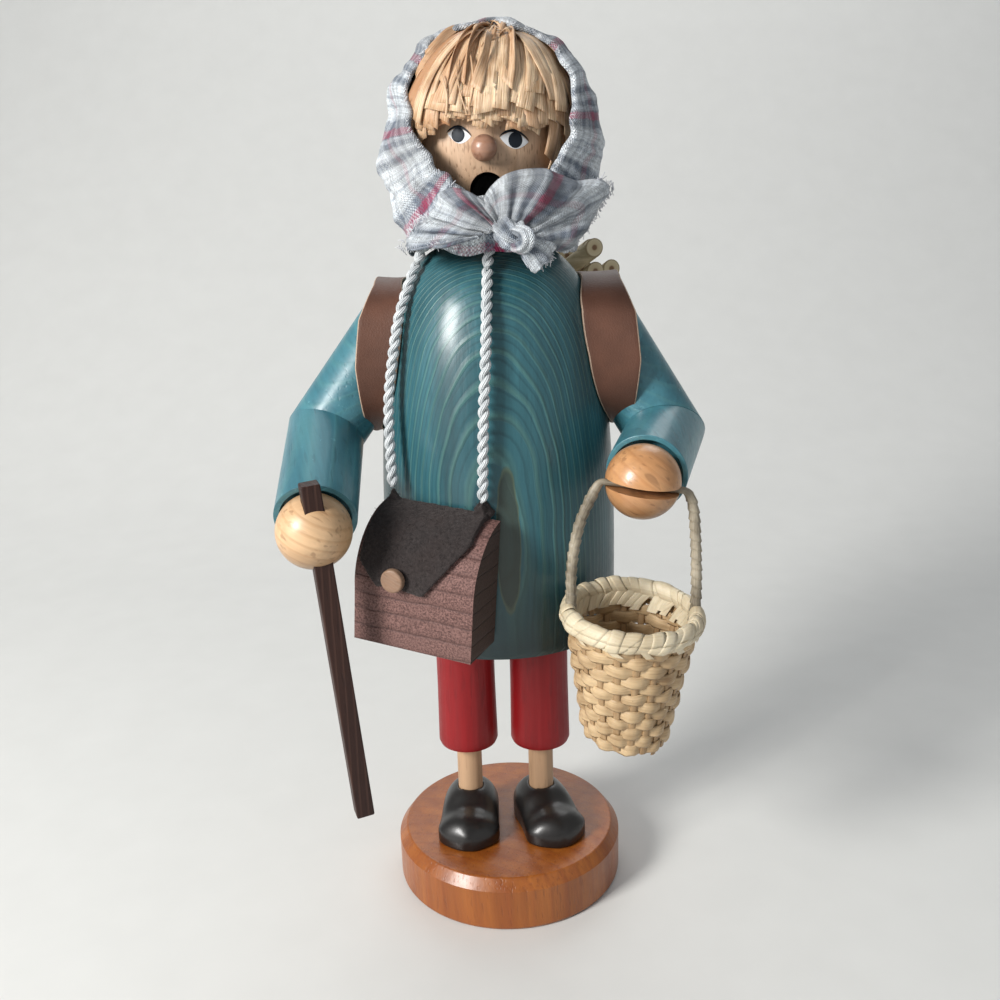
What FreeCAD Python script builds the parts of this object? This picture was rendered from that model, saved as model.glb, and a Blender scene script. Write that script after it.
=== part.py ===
import FreeCAD, Part
import math
import os

Vec = FreeCAD.Vector

# Incense smoker figure in millimetres: X to the viewer's right, Y away from the viewer, Z up.
# The origin is the centre of the base's underside.

# Shared fits and cuts
glue_gap = 0.04
running_gap = 0.06
soft_gap = 0.3
overrun = 2.0

# Main sizes of the coat, which the figure's other places follow
coat_radius = 27.9
coat_height = 91.0
hem_height = 71.1
coat_top = hem_height + coat_height


def on_figure(across_share, away_share, up_share):
    # A place given in shares of the coat's radius and height, measured from the hem's centre.
    return Vec(coat_radius * across_share, coat_radius * away_share, hem_height + coat_height * up_share)


# Base disc and legs
base_radius = 29.0
base_height = 13.5
base_top_radius = 27.0
base_edge_drop = 2.7
base_foot_chamfer = 0.6
left_leg_x = -9.8
right_leg_x = 8.8
ankle_radius = 3.2
ankle_seat_depth = 8.0
ankle_socket_depth = 12.0
trouser_radius = 7.35
trouser_flare = 0.25
trouser_bottom = 36.0
trouser_edge = 1.3
trouser_round_share = 0.3
trouser_tenon_radius = 4.4
trouser_tenon_length = 5.5

# Shoes, with sections from heel to toe as shares of length, width and height
shoe_length = 23.6
shoe_width = 14.8
shoe_height = 10.4
shoe_heel_y = 7.0
left_shoe_turn = -2.0
right_shoe_turn = 18.0
shoe_side_share = 0.46
shoe_shares = [
    (0.00, 0.50, 0.66), (0.06, 0.78, 0.88), (0.16, 0.92, 0.98), (0.32, 0.97, 1.00), (0.48, 0.96, 0.92),
    (0.62, 0.97, 0.74), (0.76, 1.00, 0.72), (0.88, 0.93, 0.64), (0.96, 0.74, 0.48), (1.00, 0.46, 0.30)]

# Plate and tray that close the coat from below
plate_flange_radius = 25.3
plate_flange_height = 3.0
plate_spigot_height = 5.0
tray_radius = 13.0
tray_thickness = 0.6
tray_lip = 1.8
nail_radius = 0.9
nail_head_radius = 1.9
nail_head_height = 0.6
nail_length = 6.0

# Coat shell, with the outside profile as shares of its radius and height
coat_shares = [
    (0.985, 0.0), (0.997, 0.012), (1.0, 0.153), (0.996, 0.329), (0.978, 0.460), (0.946, 0.592),
    (0.896, 0.724), (0.817, 0.834), (0.720, 0.905), (0.591, 0.954), (0.394, 0.992)]
coat_top_radius = 9.6
chamber_radius = 23.5
chamber_dome_radius = 17.5
chamber_shares = (0.5714, 0.7747, 0.8956)

# Head, neck and face
head_radius = 17.5
head_rise = 20.1
head_height = coat_top + head_rise
head_y = -1.5
neck_radius = 8.2
neck_spigot_radius = 5.5
neck_spigot_length = 8.5
smoke_bore_radius = 3.4
mouth_radius = 3.7
mouth_drop = 9.5
mouth_height = head_height - mouth_drop
mouth_back = 3.0
nose_radius = 2.7
nose_drop = 1.2
nose_height = head_height - nose_drop
nose_x = -0.4
nose_set_back = 0.9
nose_peg_radius = 1.5
nose_peg_length = 5.0

# Arms: each a straight sleeve, mitred at the elbow, with a hollow cuff
arm_radius = 8.8
left_shoulder = on_figure(-0.8674, 0, 0.7681)
left_elbow = on_figure(-1.4194, -0.2151, 0.5396)
left_hand_centre = on_figure(-1.3584, -1.3584, 0.3835)
right_shoulder = on_figure(0.9068, 0, 0.7681)
right_elbow = on_figure(1.405, -0.2151, 0.5132)
right_hand_centre = on_figure(1.1039, -1.1685, 0.4626)
arm_top_drop = 10.7
arm_top = coat_top - arm_top_drop
arm_root_length = 14.0
elbow_facet_share = 0.82
hand_radius = 8.0
cuff_bore_radius = 7.6
hand_out = 4.2
shoulder_dowel_radius = 2.5
shoulder_dowel_inner = 22.3
shoulder_dowel_length = 9.5
shoulder_dowel_drop = 26.1
shoulder_dowel_height = coat_top - shoulder_dowel_drop
elbow_dowel_radius = 1.5
elbow_dowel_length = 11.0
wrist_dowel_radius = 2.4
wrist_seat_depth = 4.4
wrist_socket_depth = 5.0

# Walking stick, a square bar through the left hand
stick_side = 4.0
stick_top = on_figure(-1.3405, -1.491, 0.5066)
stick_foot = on_figure(-1.147, -1.3333, -0.3527)
stick_turn_angle = 20.0

# Basket and its seat in the saw cut of the right hand
slot_centre = on_figure(1.1039, -1.2079, 0.4549)
slot_tilt = 8.0
handle_core_radius = 0.8
handle_core_half = 9.3
handle_radius = 1.3
basket_lean = 3.8
basket_nod = 4.7
basket_rim_centre = on_figure(1.0179, -1.233, 0.1451)
basket_rim_radius = 13.9
basket_rim_thickness = 3.6
basket_wall_thickness = 1.3
basket_foot_radius = 9.3
basket_height = 28.8
basket_floor_thickness = 1.5
handle_left_shares = [(0.95, 0.07), (1.00, 0.36), (0.93, 0.70), (0.76, 0.92)]
handle_right_shares = [(0.98, 0.07), (0.93, 0.36), (0.84, 0.70), (0.77, 0.88)]

# Shoulder bag in its own frame: width, outward depth and height
bag_width = 28.0
bag_depth = 13.0
bag_height = 28.2
bag_turn = 22.0
bag_roll = 5.0
bag_back = 28.3
bag_side = -4.2
bag_rise = 6.9
bag_bottom = hem_height + bag_rise
bag_face_share = 0.42
flap_thickness = 1.3
flap_top_shares = (-0.46, 0.40)
flap_low_shares = (-0.20, 0.09)
flap_low_height = 14.6
flap_ear_height = 3.4
flap_ear_width = 4.2
ear_tip_share = 0.3
button_radius = 2.6
button_height = 1.8
button_peg_radius = 1.0
button_peg_length = 4.0
button_side_share = -0.13
button_height_share = 0.58

# Bag cord: the route of each stretch, in the figure's own frame
cord_radius = 1.35
cord_left_shares = [
    (-0.5771, -0.3656, 0.9549), (-0.7133, -0.5305, 0.8582), (-0.7849, -0.6201, 0.7396),
    (-0.8495, -0.6703, 0.6033)]
cord_left_route = [on_figure(*place) for place in cord_left_shares]
cord_right_shares = [
    (-0.0179, -0.7133, 0.944), (-0.0323, -0.8781, 0.8582), (-0.0466, -0.9821, 0.7505),
    (-0.0824, -1.0538, 0.6143)]
cord_right_route = [on_figure(*place) for place in cord_right_shares]
cord_neck_inner_shares = [
    (-0.4767, -0.2079, 1.0154), (-0.3943, 0.0179, 1.0341), (-0.2545, 0.2867, 1.0352),
    (0.0036, 0.3835, 1.0374), (0.2616, 0.2796, 1.0385), (0.3835, 0.0323, 1.0385),
    (0.3656, -0.1685, 1.0385), (0.2437, -0.3513, 1.044), (0.0681, -0.5197, 1.0253)]
cord_neck_inner_route = [on_figure(*place) for place in cord_neck_inner_shares]
cord_left_lead = 3.4
cord_right_lead = 4.4
cord_end_gap = 0.12
cord_bend_share = 0.45

# Leather shoulder straps: a band that goes round each arm's root to the carrying board
strap_thickness = 1.2
strap_inner_x = 19.6
left_strap_edge_shares = (0.9462, 1.0968, 1.0108)
right_strap_edge_shares = (1.0394, 1.1685, 1.0466)
strap_front = -13.6
strap_top_drop = 9.4
strap_depth = 33.1
strap_back_top_drop = 16.1
strap_back_depth = 30.0
strap_top = coat_top - strap_top_drop
strap_bottom = strap_top - strap_depth
strap_back_top = coat_top - strap_back_top_drop
strap_back_bottom = strap_back_top - strap_back_depth
strap_crest_y = 3.0
strap_shoulder_drop = 11.0
strap_armpit_rise = 9.0

# Carrying board with a tied bundle of cut sticks on the back
board_width = 54.0
board_thickness = 2.6
board_top_drop = 12.1
board_height = 44.0
board_top = coat_top - board_top_drop
board_bottom = board_top - board_height
bundle_foot = on_figure(-0.7348, 1.4194, 0.5484)
bundle_head = on_figure(0.9032, 1.4194, 0.9143)
bundle_stick_radius = 2.45
bundle_stick_count = 7
bundle_stretch_shares = (-0.06, 0.05, -0.02, 0.07, 0.0, 0.06, -0.04)
tie_radius = 0.6
tie_place_shares = (0.24, 0.74)

# Hair and kerchief
hair_thickness = 3.2
hair_rise = 1.6
hair_forward = 1.0
fringe_rise = 3.0
fringe_height = head_height + fringe_rise
fringe_back = 5.0
hair_side_drop = 11.7
hair_side_bottom = head_height - hair_side_drop
hair_side_front = 9.6
kerchief_crown_rise = 25.6
kerchief_height = 48.0
kerchief_crown = head_height + kerchief_crown_rise
kerchief_bottom = kerchief_crown - kerchief_height
kerchief_width = 24.2
kerchief_shift_x = 1.0
face_opening_radius = 17.2
face_opening_rise = 5.4
face_opening_height = head_height + face_opening_rise
face_opening_x = 0.6
kerchief_shares = [
    (0.00, 0.74, 0.080), (0.10, 0.84, 0.065), (0.24, 0.935, 0.045), (0.42, 1.00, 0.024),
    (0.60, 0.965, 0.016), (0.76, 0.85, 0.010), (0.89, 0.64, 0.006), (0.97, 0.36, 0.003),
    (1.00, 0.12, 0.001)]
kerchief_fold_count = 10
knot_centre = on_figure(0.2294, -0.871, 1.0011)
knot_width = 6.8
knot_height = 5.2
knot_tail_length = 5.0
knot_tail_width = 3.6
knot_tail_thickness = 1.4
knot_tail_angle = 38.0

origin = Vec(0, 0, 0)
up = Vec(0, 0, 1)
across = Vec(1, 0, 0)
away = Vec(0, 1, 0)


def unit(v):
    return Vec(v).normalize()


def bar(start, end, radius):
    return Part.makeCylinder(radius, (end - start).Length, start, unit(end - start))


def turned(points):
    outline = [Vec(r, 0, z) for r, z in points]
    return Part.Face(Part.makePolygon(outline + [outline[0]])).revolve(origin, up, 360)


def block(low, high):
    return Part.makeBox(high.x - low.x, high.y - low.y, high.z - low.z, low)


def half_space(point, normal, reach):
    # A large block that fills the side of a plane the normal points to.
    cube = Part.makeBox(reach + reach, reach + reach, reach, Vec(-reach, -reach, 0))
    cube.Placement = FreeCAD.Placement(point, FreeCAD.Rotation(up, unit(normal)))
    return cube


def one_solid(shape):
    return max(shape.Solids, key=lambda solid: solid.Volume)


def save(name, shape):
    shape.exportStep("parts/" + name + ".step")


def base_disc():
    disc = turned([
        (0, 0), (base_radius - base_foot_chamfer, 0), (base_radius, base_foot_chamfer),
        (base_radius, base_height - base_edge_drop), (base_top_radius, base_height), (0, base_height)])
    for x in (left_leg_x, right_leg_x):
        seat = Vec(x, 0, base_height - ankle_seat_depth)
        disc = disc.cut(Part.makeCylinder(ankle_radius + glue_gap, ankle_seat_depth + overrun, seat))
    return disc


def shoe_section(y, width, height):
    half, side = width / 2, height * shoe_side_share
    left, right = Vec(-half, y, 0), Vec(half, y, 0)
    left_side, right_side = Vec(-half, y, side), Vec(half, y, side)
    over = Part.Arc(right_side, Vec(0, y, height), left_side).toShape()
    return Part.Wire([Part.makeLine(left, right), Part.makeLine(right, right_side), over,
                      Part.makeLine(left_side, left)])


def shoe(x, turn):
    wires = []
    for along, wide, high in shoe_shares:
        y = shoe_heel_y - along * shoe_length
        wires.append(shoe_section(y, wide * shoe_width, high * shoe_height))
    body = Part.makeLoft(wires, True, False)
    body.rotate(origin, up, turn)
    body.translate(Vec(x, 0, base_height))
    return body.cut(Part.makeCylinder(ankle_radius + glue_gap, shoe_height + overrun + overrun,
                                      Vec(x, 0, base_height - overrun)))


def ankle_dowel(x):
    foot = Vec(x, 0, base_height - ankle_seat_depth + glue_gap)
    head = Vec(x, 0, trouser_bottom + ankle_socket_depth - glue_gap)
    return bar(foot, head, ankle_radius)


def trouser_leg(x):
    low, high = trouser_bottom, hem_height
    flare = trouser_radius + trouser_flare
    rounding = trouser_edge * trouser_round_share
    leg = turned([
        (0, low), (flare - trouser_edge, low), (flare - rounding, low + rounding),
        (flare, low + trouser_edge), (trouser_radius, (low + high) / 2), (trouser_radius, high),
        (trouser_tenon_radius, high), (trouser_tenon_radius, high + trouser_tenon_length),
        (0, high + trouser_tenon_length)])
    socket = Part.makeCylinder(ankle_radius + glue_gap, ankle_socket_depth + overrun, Vec(0, 0, low - overrun))
    leg = leg.cut(socket)
    leg.translate(Vec(x, 0, 0))
    return leg


def hem_plate():
    shoulder = hem_height + plate_flange_height
    top = shoulder + plate_spigot_height
    rim = plate_flange_radius - running_gap
    spigot = chamber_radius - running_gap
    plate = turned([(0, hem_height), (rim, hem_height), (rim, shoulder), (spigot, shoulder),
                    (spigot, top), (0, top)])
    for x in (left_leg_x, right_leg_x):
        socket = Part.makeCylinder(trouser_tenon_radius + glue_gap,
                                   trouser_tenon_length + glue_gap, Vec(x, 0, hem_height))
        plate = plate.cut(socket)
    return plate.cut(Part.makeCylinder(nail_radius + glue_gap, nail_length + nail_length,
                                       Vec(0, 0, top - nail_length)))


def incense_tray():
    low = hem_height + plate_flange_height + plate_spigot_height
    wall = tray_radius - tray_thickness
    tray = turned([(0, low), (tray_radius, low), (tray_radius, low + tray_lip), (wall, low + tray_lip),
                   (wall, low + tray_thickness), (0, low + tray_thickness)])
    return tray.cut(Part.makeCylinder(nail_radius + glue_gap, tray_lip + overrun, Vec(0, 0, low - overrun / 2)))


def tray_nail():
    seat = hem_height + plate_flange_height + plate_spigot_height + tray_thickness
    shank = Part.makeCylinder(nail_radius, nail_length - tray_thickness, Vec(0, 0, seat - nail_length + tray_thickness))
    head = Part.makeCylinder(nail_head_radius, nail_head_height, Vec(0, 0, seat))
    return shank.fuse(head).removeSplitter()


def coat_outside():
    points = [Vec(coat_radius * r, 0, hem_height + coat_height * z) for r, z in coat_shares]
    side = Part.BSplineCurve()
    side.interpolate(points[1:])
    top = Vec(coat_top_radius, 0, coat_top)
    axis_top, axis_low = Vec(0, 0, top.z), Vec(0, 0, hem_height)
    edges = [Part.makeLine(axis_low, points[0]), Part.makeLine(points[0], points[1]), side.toShape(),
             Part.makeLine(points[-1], top), Part.makeLine(top, axis_top), Part.makeLine(axis_top, axis_low)]
    return Part.Face(Part.Wire(edges)).revolve(origin, up, 360)


def coat_body(outside):
    low = hem_height
    wall_top, haunch_height, crown_height = (low + coat_height * share for share in chamber_shares)
    springing = Vec(chamber_radius, 0, wall_top)
    haunch = Vec(chamber_dome_radius, 0, haunch_height)
    crown = Vec(neck_spigot_radius, 0, crown_height)
    floor, axis_low, axis_top = Vec(chamber_radius, 0, low), Vec(0, 0, low), Vec(0, 0, crown.z)
    edges = [Part.makeLine(axis_low, floor), Part.makeLine(floor, springing),
             Part.Arc(springing, haunch, crown).toShape(), Part.makeLine(crown, axis_top),
             Part.makeLine(axis_top, axis_low)]
    chamber = Part.Face(Part.Wire(edges)).revolve(origin, up, 360)
    rebate = Part.makeCylinder(plate_flange_radius, plate_flange_height, Vec(0, 0, low))
    neck_bore = Part.makeCylinder(neck_spigot_radius + glue_gap, coat_height, Vec(0, 0, crown.z - overrun))
    coat = outside.cut(chamber).cut(rebate).cut(neck_bore)
    for side in (-1, 1):
        coat = coat.cut(shoulder_dowel(side, glue_gap))
    return coat


def shoulder_dowel(side, gap):
    start = Vec(side * shoulder_dowel_inner, 0, shoulder_dowel_height)
    end = start + across * (side * shoulder_dowel_length)
    return bar(start, end, shoulder_dowel_radius + gap)


def upper_arm(shoulder, elbow, hand, outside, side):
    along = unit(elbow - shoulder)
    arm = bar(shoulder - along * arm_root_length, elbow + along * arm_radius, arm_radius)
    arm = arm.cut(outside).cut(half_space(Vec(0, 0, arm_top), up, coat_height))
    mitre = along + unit(hand - elbow)
    arm = arm.cut(half_space(elbow, mitre, coat_height)).cut(elbow_facet(shoulder, elbow, hand))
    arm = arm.cut(shoulder_dowel(side, glue_gap)).cut(elbow_dowel(shoulder, elbow, hand, glue_gap))
    return one_solid(arm)


def elbow_facet(shoulder, elbow, hand):
    outward = unit(unit(elbow - shoulder) - unit(hand - elbow))
    return half_space(elbow + outward * (arm_radius * elbow_facet_share), outward, coat_height)


def elbow_dowel(shoulder, elbow, hand, gap):
    along = unit(unit(elbow - shoulder) + unit(hand - elbow))
    half = along * ((elbow_dowel_length + gap + gap) / 2)
    return bar(elbow - half, elbow + half, elbow_dowel_radius + gap)


def cuff_end(elbow, hand):
    return hand - unit(hand - elbow) * hand_out


def cuff_depth():
    # The ball's back meets the floor of the cuff.
    return hand_radius - hand_out + glue_gap


def forearm(shoulder, elbow, hand):
    along = unit(hand - elbow)
    rim = cuff_end(elbow, hand)
    arm = bar(elbow - along * arm_radius, rim, arm_radius)
    mitre = unit(elbow - shoulder) + along
    arm = arm.cut(half_space(elbow, mitre * -1, coat_height)).cut(elbow_facet(shoulder, elbow, hand))
    arm = arm.cut(bar(rim - along * cuff_depth(), rim + along * overrun, cuff_bore_radius))
    arm = arm.cut(wrist_dowel(elbow, hand, glue_gap)).cut(elbow_dowel(shoulder, elbow, hand, glue_gap))
    return one_solid(arm)


def wrist_dowel(elbow, hand, gap):
    along = unit(hand - elbow)
    start = cuff_end(elbow, hand) - along * (cuff_depth() + wrist_socket_depth + gap)
    end = hand - along * (hand_radius - wrist_seat_depth - gap)
    return bar(start, end, wrist_dowel_radius + gap)


def square_bar(start, end, side, turn):
    half = side / 2
    corners = [Vec(-half, -half, 0), Vec(half, -half, 0), Vec(half, half, 0), Vec(-half, half, 0)]
    face = Part.Face(Part.makePolygon(corners + [corners[0]]))
    length = (end - start).Length
    stick = face.extrude(Vec(0, 0, length))
    stick.rotate(origin, up, turn)
    stick.Placement = FreeCAD.Placement(start, FreeCAD.Rotation(up, unit(end - start))).multiply(stick.Placement)
    return stick


def walking_stick(gap):
    return square_bar(stick_foot, stick_top, stick_side + gap + gap, stick_turn_angle)


def hand_ball(elbow, hand):
    ball = Part.makeSphere(hand_radius, hand)
    return ball.cut(wrist_dowel(elbow, hand, glue_gap))


def left_hand():
    ball = hand_ball(left_elbow, left_hand_centre)
    return one_solid(ball.cut(walking_stick(running_gap)))


def slot_axis():
    tilt = math.radians(slot_tilt)
    return Vec(math.cos(tilt), 0, -math.sin(tilt))


def right_hand():
    ball = hand_ball(right_elbow, right_hand_centre)
    along = slot_axis()
    half = handle_core_radius + running_gap
    reach = hand_radius + hand_radius
    seat = bar(slot_centre - along * reach, slot_centre + along * reach, half)
    kerf = Part.makeBox(reach + reach, reach, half + half, Vec(-reach, -reach, -half))
    kerf.Placement = FreeCAD.Placement(slot_centre, FreeCAD.Rotation(across, along))
    return one_solid(ball.cut(seat.fuse(kerf)))


def basket_axes():
    lean, nod = math.radians(basket_lean), math.radians(basket_nod)
    side = Vec(math.cos(lean), 0, -math.sin(lean))
    plumb = Vec(math.sin(lean), 0, math.cos(lean))
    rise = plumb * math.cos(nod) - away * math.sin(nod)
    return side, rise


def basket_rim():
    side, rise = basket_axes()
    return Part.makeTorus(basket_rim_radius, basket_rim_thickness / 2, basket_rim_centre, rise)


def basket_cone(top_radius, foot_radius, low, high):
    # Measured down from the rim's centre along the basket's own axis.
    side, rise = basket_axes()
    return Part.makeCone(foot_radius, top_radius, low - high, basket_rim_centre - rise * low, rise)


def basket_wall(rim):
    outer = basket_cone(basket_rim_radius, basket_foot_radius, basket_height, 0)
    inner_top = basket_rim_radius - basket_wall_thickness
    inner_foot = basket_foot_radius - basket_wall_thickness
    inner = basket_cone(inner_top, inner_foot, basket_height, 0)
    return one_solid(outer.cut(inner).cut(rim))


def basket_bottom():
    side, rise = basket_axes()
    inner_foot = basket_foot_radius - basket_wall_thickness - glue_gap
    return Part.makeCylinder(inner_foot, basket_floor_thickness, basket_rim_centre - rise * basket_height, rise)


def soft_route(points, radius):
    # Straight runs joined by the largest tangent arcs that the runs allow; returns the tube and its radii.
    edges = []
    radii = []
    last = points[0]
    for before, here, after in zip(points, points[1:], points[2:]):
        back, forth = before - here, after - here
        reach = min(back.Length, forth.Length) * cord_bend_share
        half_turn = (math.pi - back.getAngle(forth)) / 2
        bend = reach / math.tan(half_turn)
        start, end = here + unit(back) * reach, here + unit(forth) * reach
        inward = unit(unit(back) + unit(forth))
        middle = here + inward * (bend / math.cos(half_turn) - bend)
        edges.append(Part.makeLine(last, start))
        edges.append(Part.Arc(start, middle, end).toShape())
        radii.append(round(bend, 1))
        last = end
    edges.append(Part.makeLine(last, points[-1]))
    path = Part.Wire(edges)
    section = Part.Wire(Part.makeCircle(radius, points[0], unit(points[1] - points[0])))
    tube = path.makePipeShell([section], True, False)
    return tube, radii, path.Length


def neck_route():
    # The part round the neck runs on in line with each hanging length where they meet.
    left, right = cord_left_route[0], cord_right_route[0]
    left_lead = left + unit(left - cord_left_route[1]) * cord_left_lead
    right_lead = right + unit(right - cord_right_route[1]) * cord_right_lead
    return [left, left_lead] + cord_neck_inner_route + [right_lead, right]


def hanging_route(route, number):
    # The hanging length starts just clear of the neck cord's end, so that it can swing there.
    start = route[0] + unit(route[1] - route[0]) * cord_end_gap
    return [start] + route[1:] + [ear_place(number)]


def ear_place(number):
    # Where the cord ends, just above the tip of the felt ear.
    corner = flap_top_shares[number] * bag_width
    inward = flap_ear_width if number == 0 else -flap_ear_width
    tip = Part.Vertex(corner + inward * ear_tip_share, -flap_thickness / 2, bag_height + flap_ear_height + soft_gap)
    return bag_frame(tip).Point


def bag_cord(name, points):
    tube, radii, length = soft_route(points, cord_radius)
    expected = math.pi * cord_radius ** 2 * length
    print(name, "length", round(length, 1), "radii", radii, "volume ratio", round(tube.Volume / expected, 4))
    return tube


def handle_side(side_sign, shares):
    side, rise = basket_axes()
    foot_to_slot = slot_centre - basket_rim_centre
    along = slot_axis() * side_sign
    mouth = slot_centre + along * handle_core_half
    points = []
    for out, high in shares:
        points.append(basket_rim_centre + side * (side_sign * out * basket_rim_radius) + foot_to_slot * high)
    points.append(mouth)
    return soft_route(points, handle_radius)[0]


def basket_handle(rim):
    along = slot_axis() * handle_core_half
    core = bar(slot_centre - along, slot_centre + along, handle_core_radius)
    handle = handle_side(-1, handle_left_shares).fuse(core).fuse(handle_side(1, handle_right_shares))
    return one_solid(handle.cut(rim).removeSplitter())


def bag_frame(shape):
    # Own frame: X along the width, Y outward negated so that -Y faces out, Z up.
    shape.rotate(origin, away, bag_roll)
    shape.rotate(origin, up, -bag_turn)
    turn = math.radians(bag_turn)
    outward = Vec(-math.sin(turn), -math.cos(turn), 0)
    sideways = Vec(math.cos(turn), -math.sin(turn), 0)
    shape.translate(outward * bag_back + sideways * bag_side + up * bag_bottom)
    return shape


def bag_profile(grow, x):
    # The side outline: flat back, flat lower front and a quarter round up to the back's top.
    straight = bag_height * bag_face_share
    rise = bag_height - straight
    foot, front = Vec(x, 0, 0), Vec(x, -bag_depth - grow, 0)
    shoulder = Vec(x, -bag_depth - grow, straight)
    crest = Vec(x, 0, bag_height + grow)
    slope = math.radians(45)
    middle = Vec(x, -(bag_depth + grow) * math.cos(slope), straight + (rise + grow) * math.sin(slope))
    arc = Part.Arc(shoulder, middle, crest).toShape()
    return Part.Wire([Part.makeLine(foot, front), Part.makeLine(front, shoulder), arc, Part.makeLine(crest, foot)])


def bag_solid(grow, width):
    face = Part.Face(bag_profile(grow, -width / 2))
    return face.extrude(Vec(width, 0, 0))


def button_shape(gap):
    face = Vec(bag_width * button_side_share, -bag_depth - flap_thickness - glue_gap, bag_height * button_height_share)
    outward = away * -1
    peg = bar(face - outward * button_peg_length, face, button_peg_radius + gap)
    head = bar(face, face + outward * button_height, button_radius)
    return peg.fuse(head)


def bag_block():
    return bag_frame(bag_solid(0, bag_width).cut(button_shape(glue_gap)))


def bag_flap():
    # Felt strip over the curved top, cut to a blunt point in front, with a raised ear at each top corner.
    skin = bag_solid(flap_thickness + glue_gap, bag_width).cut(bag_solid(glue_gap, bag_width + overrun))
    left, right = (share * bag_width for share in flap_top_shares)
    low_left, low_right = (share * bag_width for share in flap_low_shares)
    top = bag_height + bag_height
    corners = [Vec(left, 0, top), Vec(left, 0, bag_height * bag_face_share), Vec(low_left, 0, flap_low_height),
               Vec(low_right, 0, flap_low_height - flap_thickness), Vec(right, 0, bag_height * bag_face_share + bag_depth),
               Vec(right, 0, top)]
    outline = Part.Face(Part.makePolygon(corners + [corners[0]])).extrude(away * -bag_depth * 2)
    flap = skin.common(outline)
    low = bag_height + glue_gap
    high = low + flap_ear_height
    for outer, inner in ((left, left + flap_ear_width), (right, right - flap_ear_width)):
        tip = outer + (inner - outer) * ear_tip_share
        ear = Part.makePolygon([Vec(outer, 0, low), Vec(inner, 0, low), Vec(tip, 0, high), Vec(outer, 0, low)])
        flap = flap.fuse(Part.Face(ear).extrude(away * -flap_thickness))
    flap = flap.removeSplitter().cut(button_shape(glue_gap))
    return bag_frame(one_solid(flap))


def strap_profile(grow, x):
    # Side view of the band: from the board over the shoulder, down the front and back under the arm.
    front, top, bottom = strap_front + grow, strap_top - grow, strap_bottom + grow
    back = coat_radius
    start = Vec(x, back, strap_back_top - grow)
    crest = Vec(x, strap_crest_y, top)
    shoulder = Vec(x, front, strap_top - strap_shoulder_drop)
    armpit = Vec(x, front, strap_bottom + strap_armpit_rise)
    low = Vec(x, strap_crest_y, bottom)
    end = Vec(x, back, strap_back_bottom + grow)
    half = math.sqrt(0.5)
    drop, rise = top - shoulder.z, armpit.z - bottom
    depth = strap_crest_y - front
    over = Vec(x, strap_crest_y - depth * half, shoulder.z + drop * half)
    under = Vec(x, strap_crest_y - depth * half, armpit.z - rise * half)
    return [Part.makeLine(start, crest), Part.Arc(crest, over, shoulder).toShape(), Part.makeLine(shoulder, armpit),
            Part.Arc(armpit, under, low).toShape(), Part.makeLine(low, end)]


def strap(side, edge_shares, keep_out):
    edge = [coat_radius * share for share in edge_shares]
    x = side * strap_inner_x
    outer, inner = strap_profile(0, x), strap_profile(strap_thickness, x)
    first, last = Part.Wire(outer), Part.Wire(inner)
    start = Part.makeLine(outer[0].Vertexes[0].Point, inner[0].Vertexes[0].Point)
    end = Part.makeLine(outer[-1].Vertexes[-1].Point, inner[-1].Vertexes[-1].Point)
    face = Part.Face(Part.Wire(Part.__sortEdges__(first.Edges + last.Edges + [start, end])))
    band = face.extrude(across * (side * (max(edge) - strap_inner_x)))
    edge_top, edge_low = strap_top + overrun, strap_back_bottom - overrun
    middle = (strap_top + strap_bottom) / 2
    crest, widest, low = (Vec(side * along, 0, high) for along, high in zip(edge, (edge_top, middle, edge_low)))
    inner_top, inner_low = Vec(x, 0, edge_top), Vec(x, 0, edge_low)
    outline = Part.Face(Part.Wire([Part.Arc(crest, widest, low).toShape(), Part.makeLine(low, inner_low),
                                   Part.makeLine(inner_low, inner_top), Part.makeLine(inner_top, crest)]))
    outline.translate(away * strap_front * 2)
    band = band.common(outline.extrude(away * (coat_radius - strap_front * 2)))
    return one_solid(band.cut(keep_out))


def carrying_board():
    return block(Vec(-board_width / 2, coat_radius, board_bottom),
                 Vec(board_width / 2, coat_radius + board_thickness, board_top))


def bundle_sticks():
    along = unit(bundle_head - bundle_foot)
    side = unit(along.cross(away))
    out = unit(side.cross(along))
    spread = bundle_stick_radius + bundle_stick_radius + glue_gap
    sticks = []
    for number, share in enumerate(bundle_stretch_shares):
        angle = 2 * math.pi * number / (bundle_stick_count - 1)
        ring = side * (spread * math.cos(angle)) + out * (spread * math.sin(angle))
        offset = origin if number == bundle_stick_count - 1 else ring
        stretch = (bundle_head - bundle_foot) * share
        sticks.append(bar(bundle_foot + offset, bundle_head + offset + stretch, bundle_stick_radius))
    return Part.makeCompound(sticks)


def bundle_ties():
    along = unit(bundle_head - bundle_foot)
    ring = bundle_stick_radius * 3 + tie_radius + glue_gap * 4
    ties = []
    for share in tie_place_shares:
        centre = bundle_foot + (bundle_head - bundle_foot) * share
        ties.append(Part.makeTorus(ring, tie_radius, centre, along))
    return Part.makeCompound(ties)


def head_group():
    centre = Vec(0, head_y, head_height)
    ball = Part.makeSphere(head_radius, centre)
    neck = Part.makeCylinder(neck_radius, head_height - coat_top, Vec(0, 0, coat_top))
    spigot = Part.makeCylinder(neck_spigot_radius, neck_spigot_length + overrun, Vec(0, 0, coat_top - neck_spigot_length))
    head = ball.fuse(neck).fuse(spigot).removeSplitter()
    flue = Part.makeCylinder(smoke_bore_radius, mouth_height - coat_top + neck_spigot_length + overrun,
                             Vec(0, 0, coat_top - neck_spigot_length - overrun))
    mouth = bar(Vec(0, mouth_back, mouth_height), Vec(0, -head_radius * 2, mouth_height), mouth_radius)
    return one_solid(head.cut(flue).cut(mouth).cut(nose(glue_gap)))


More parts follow.
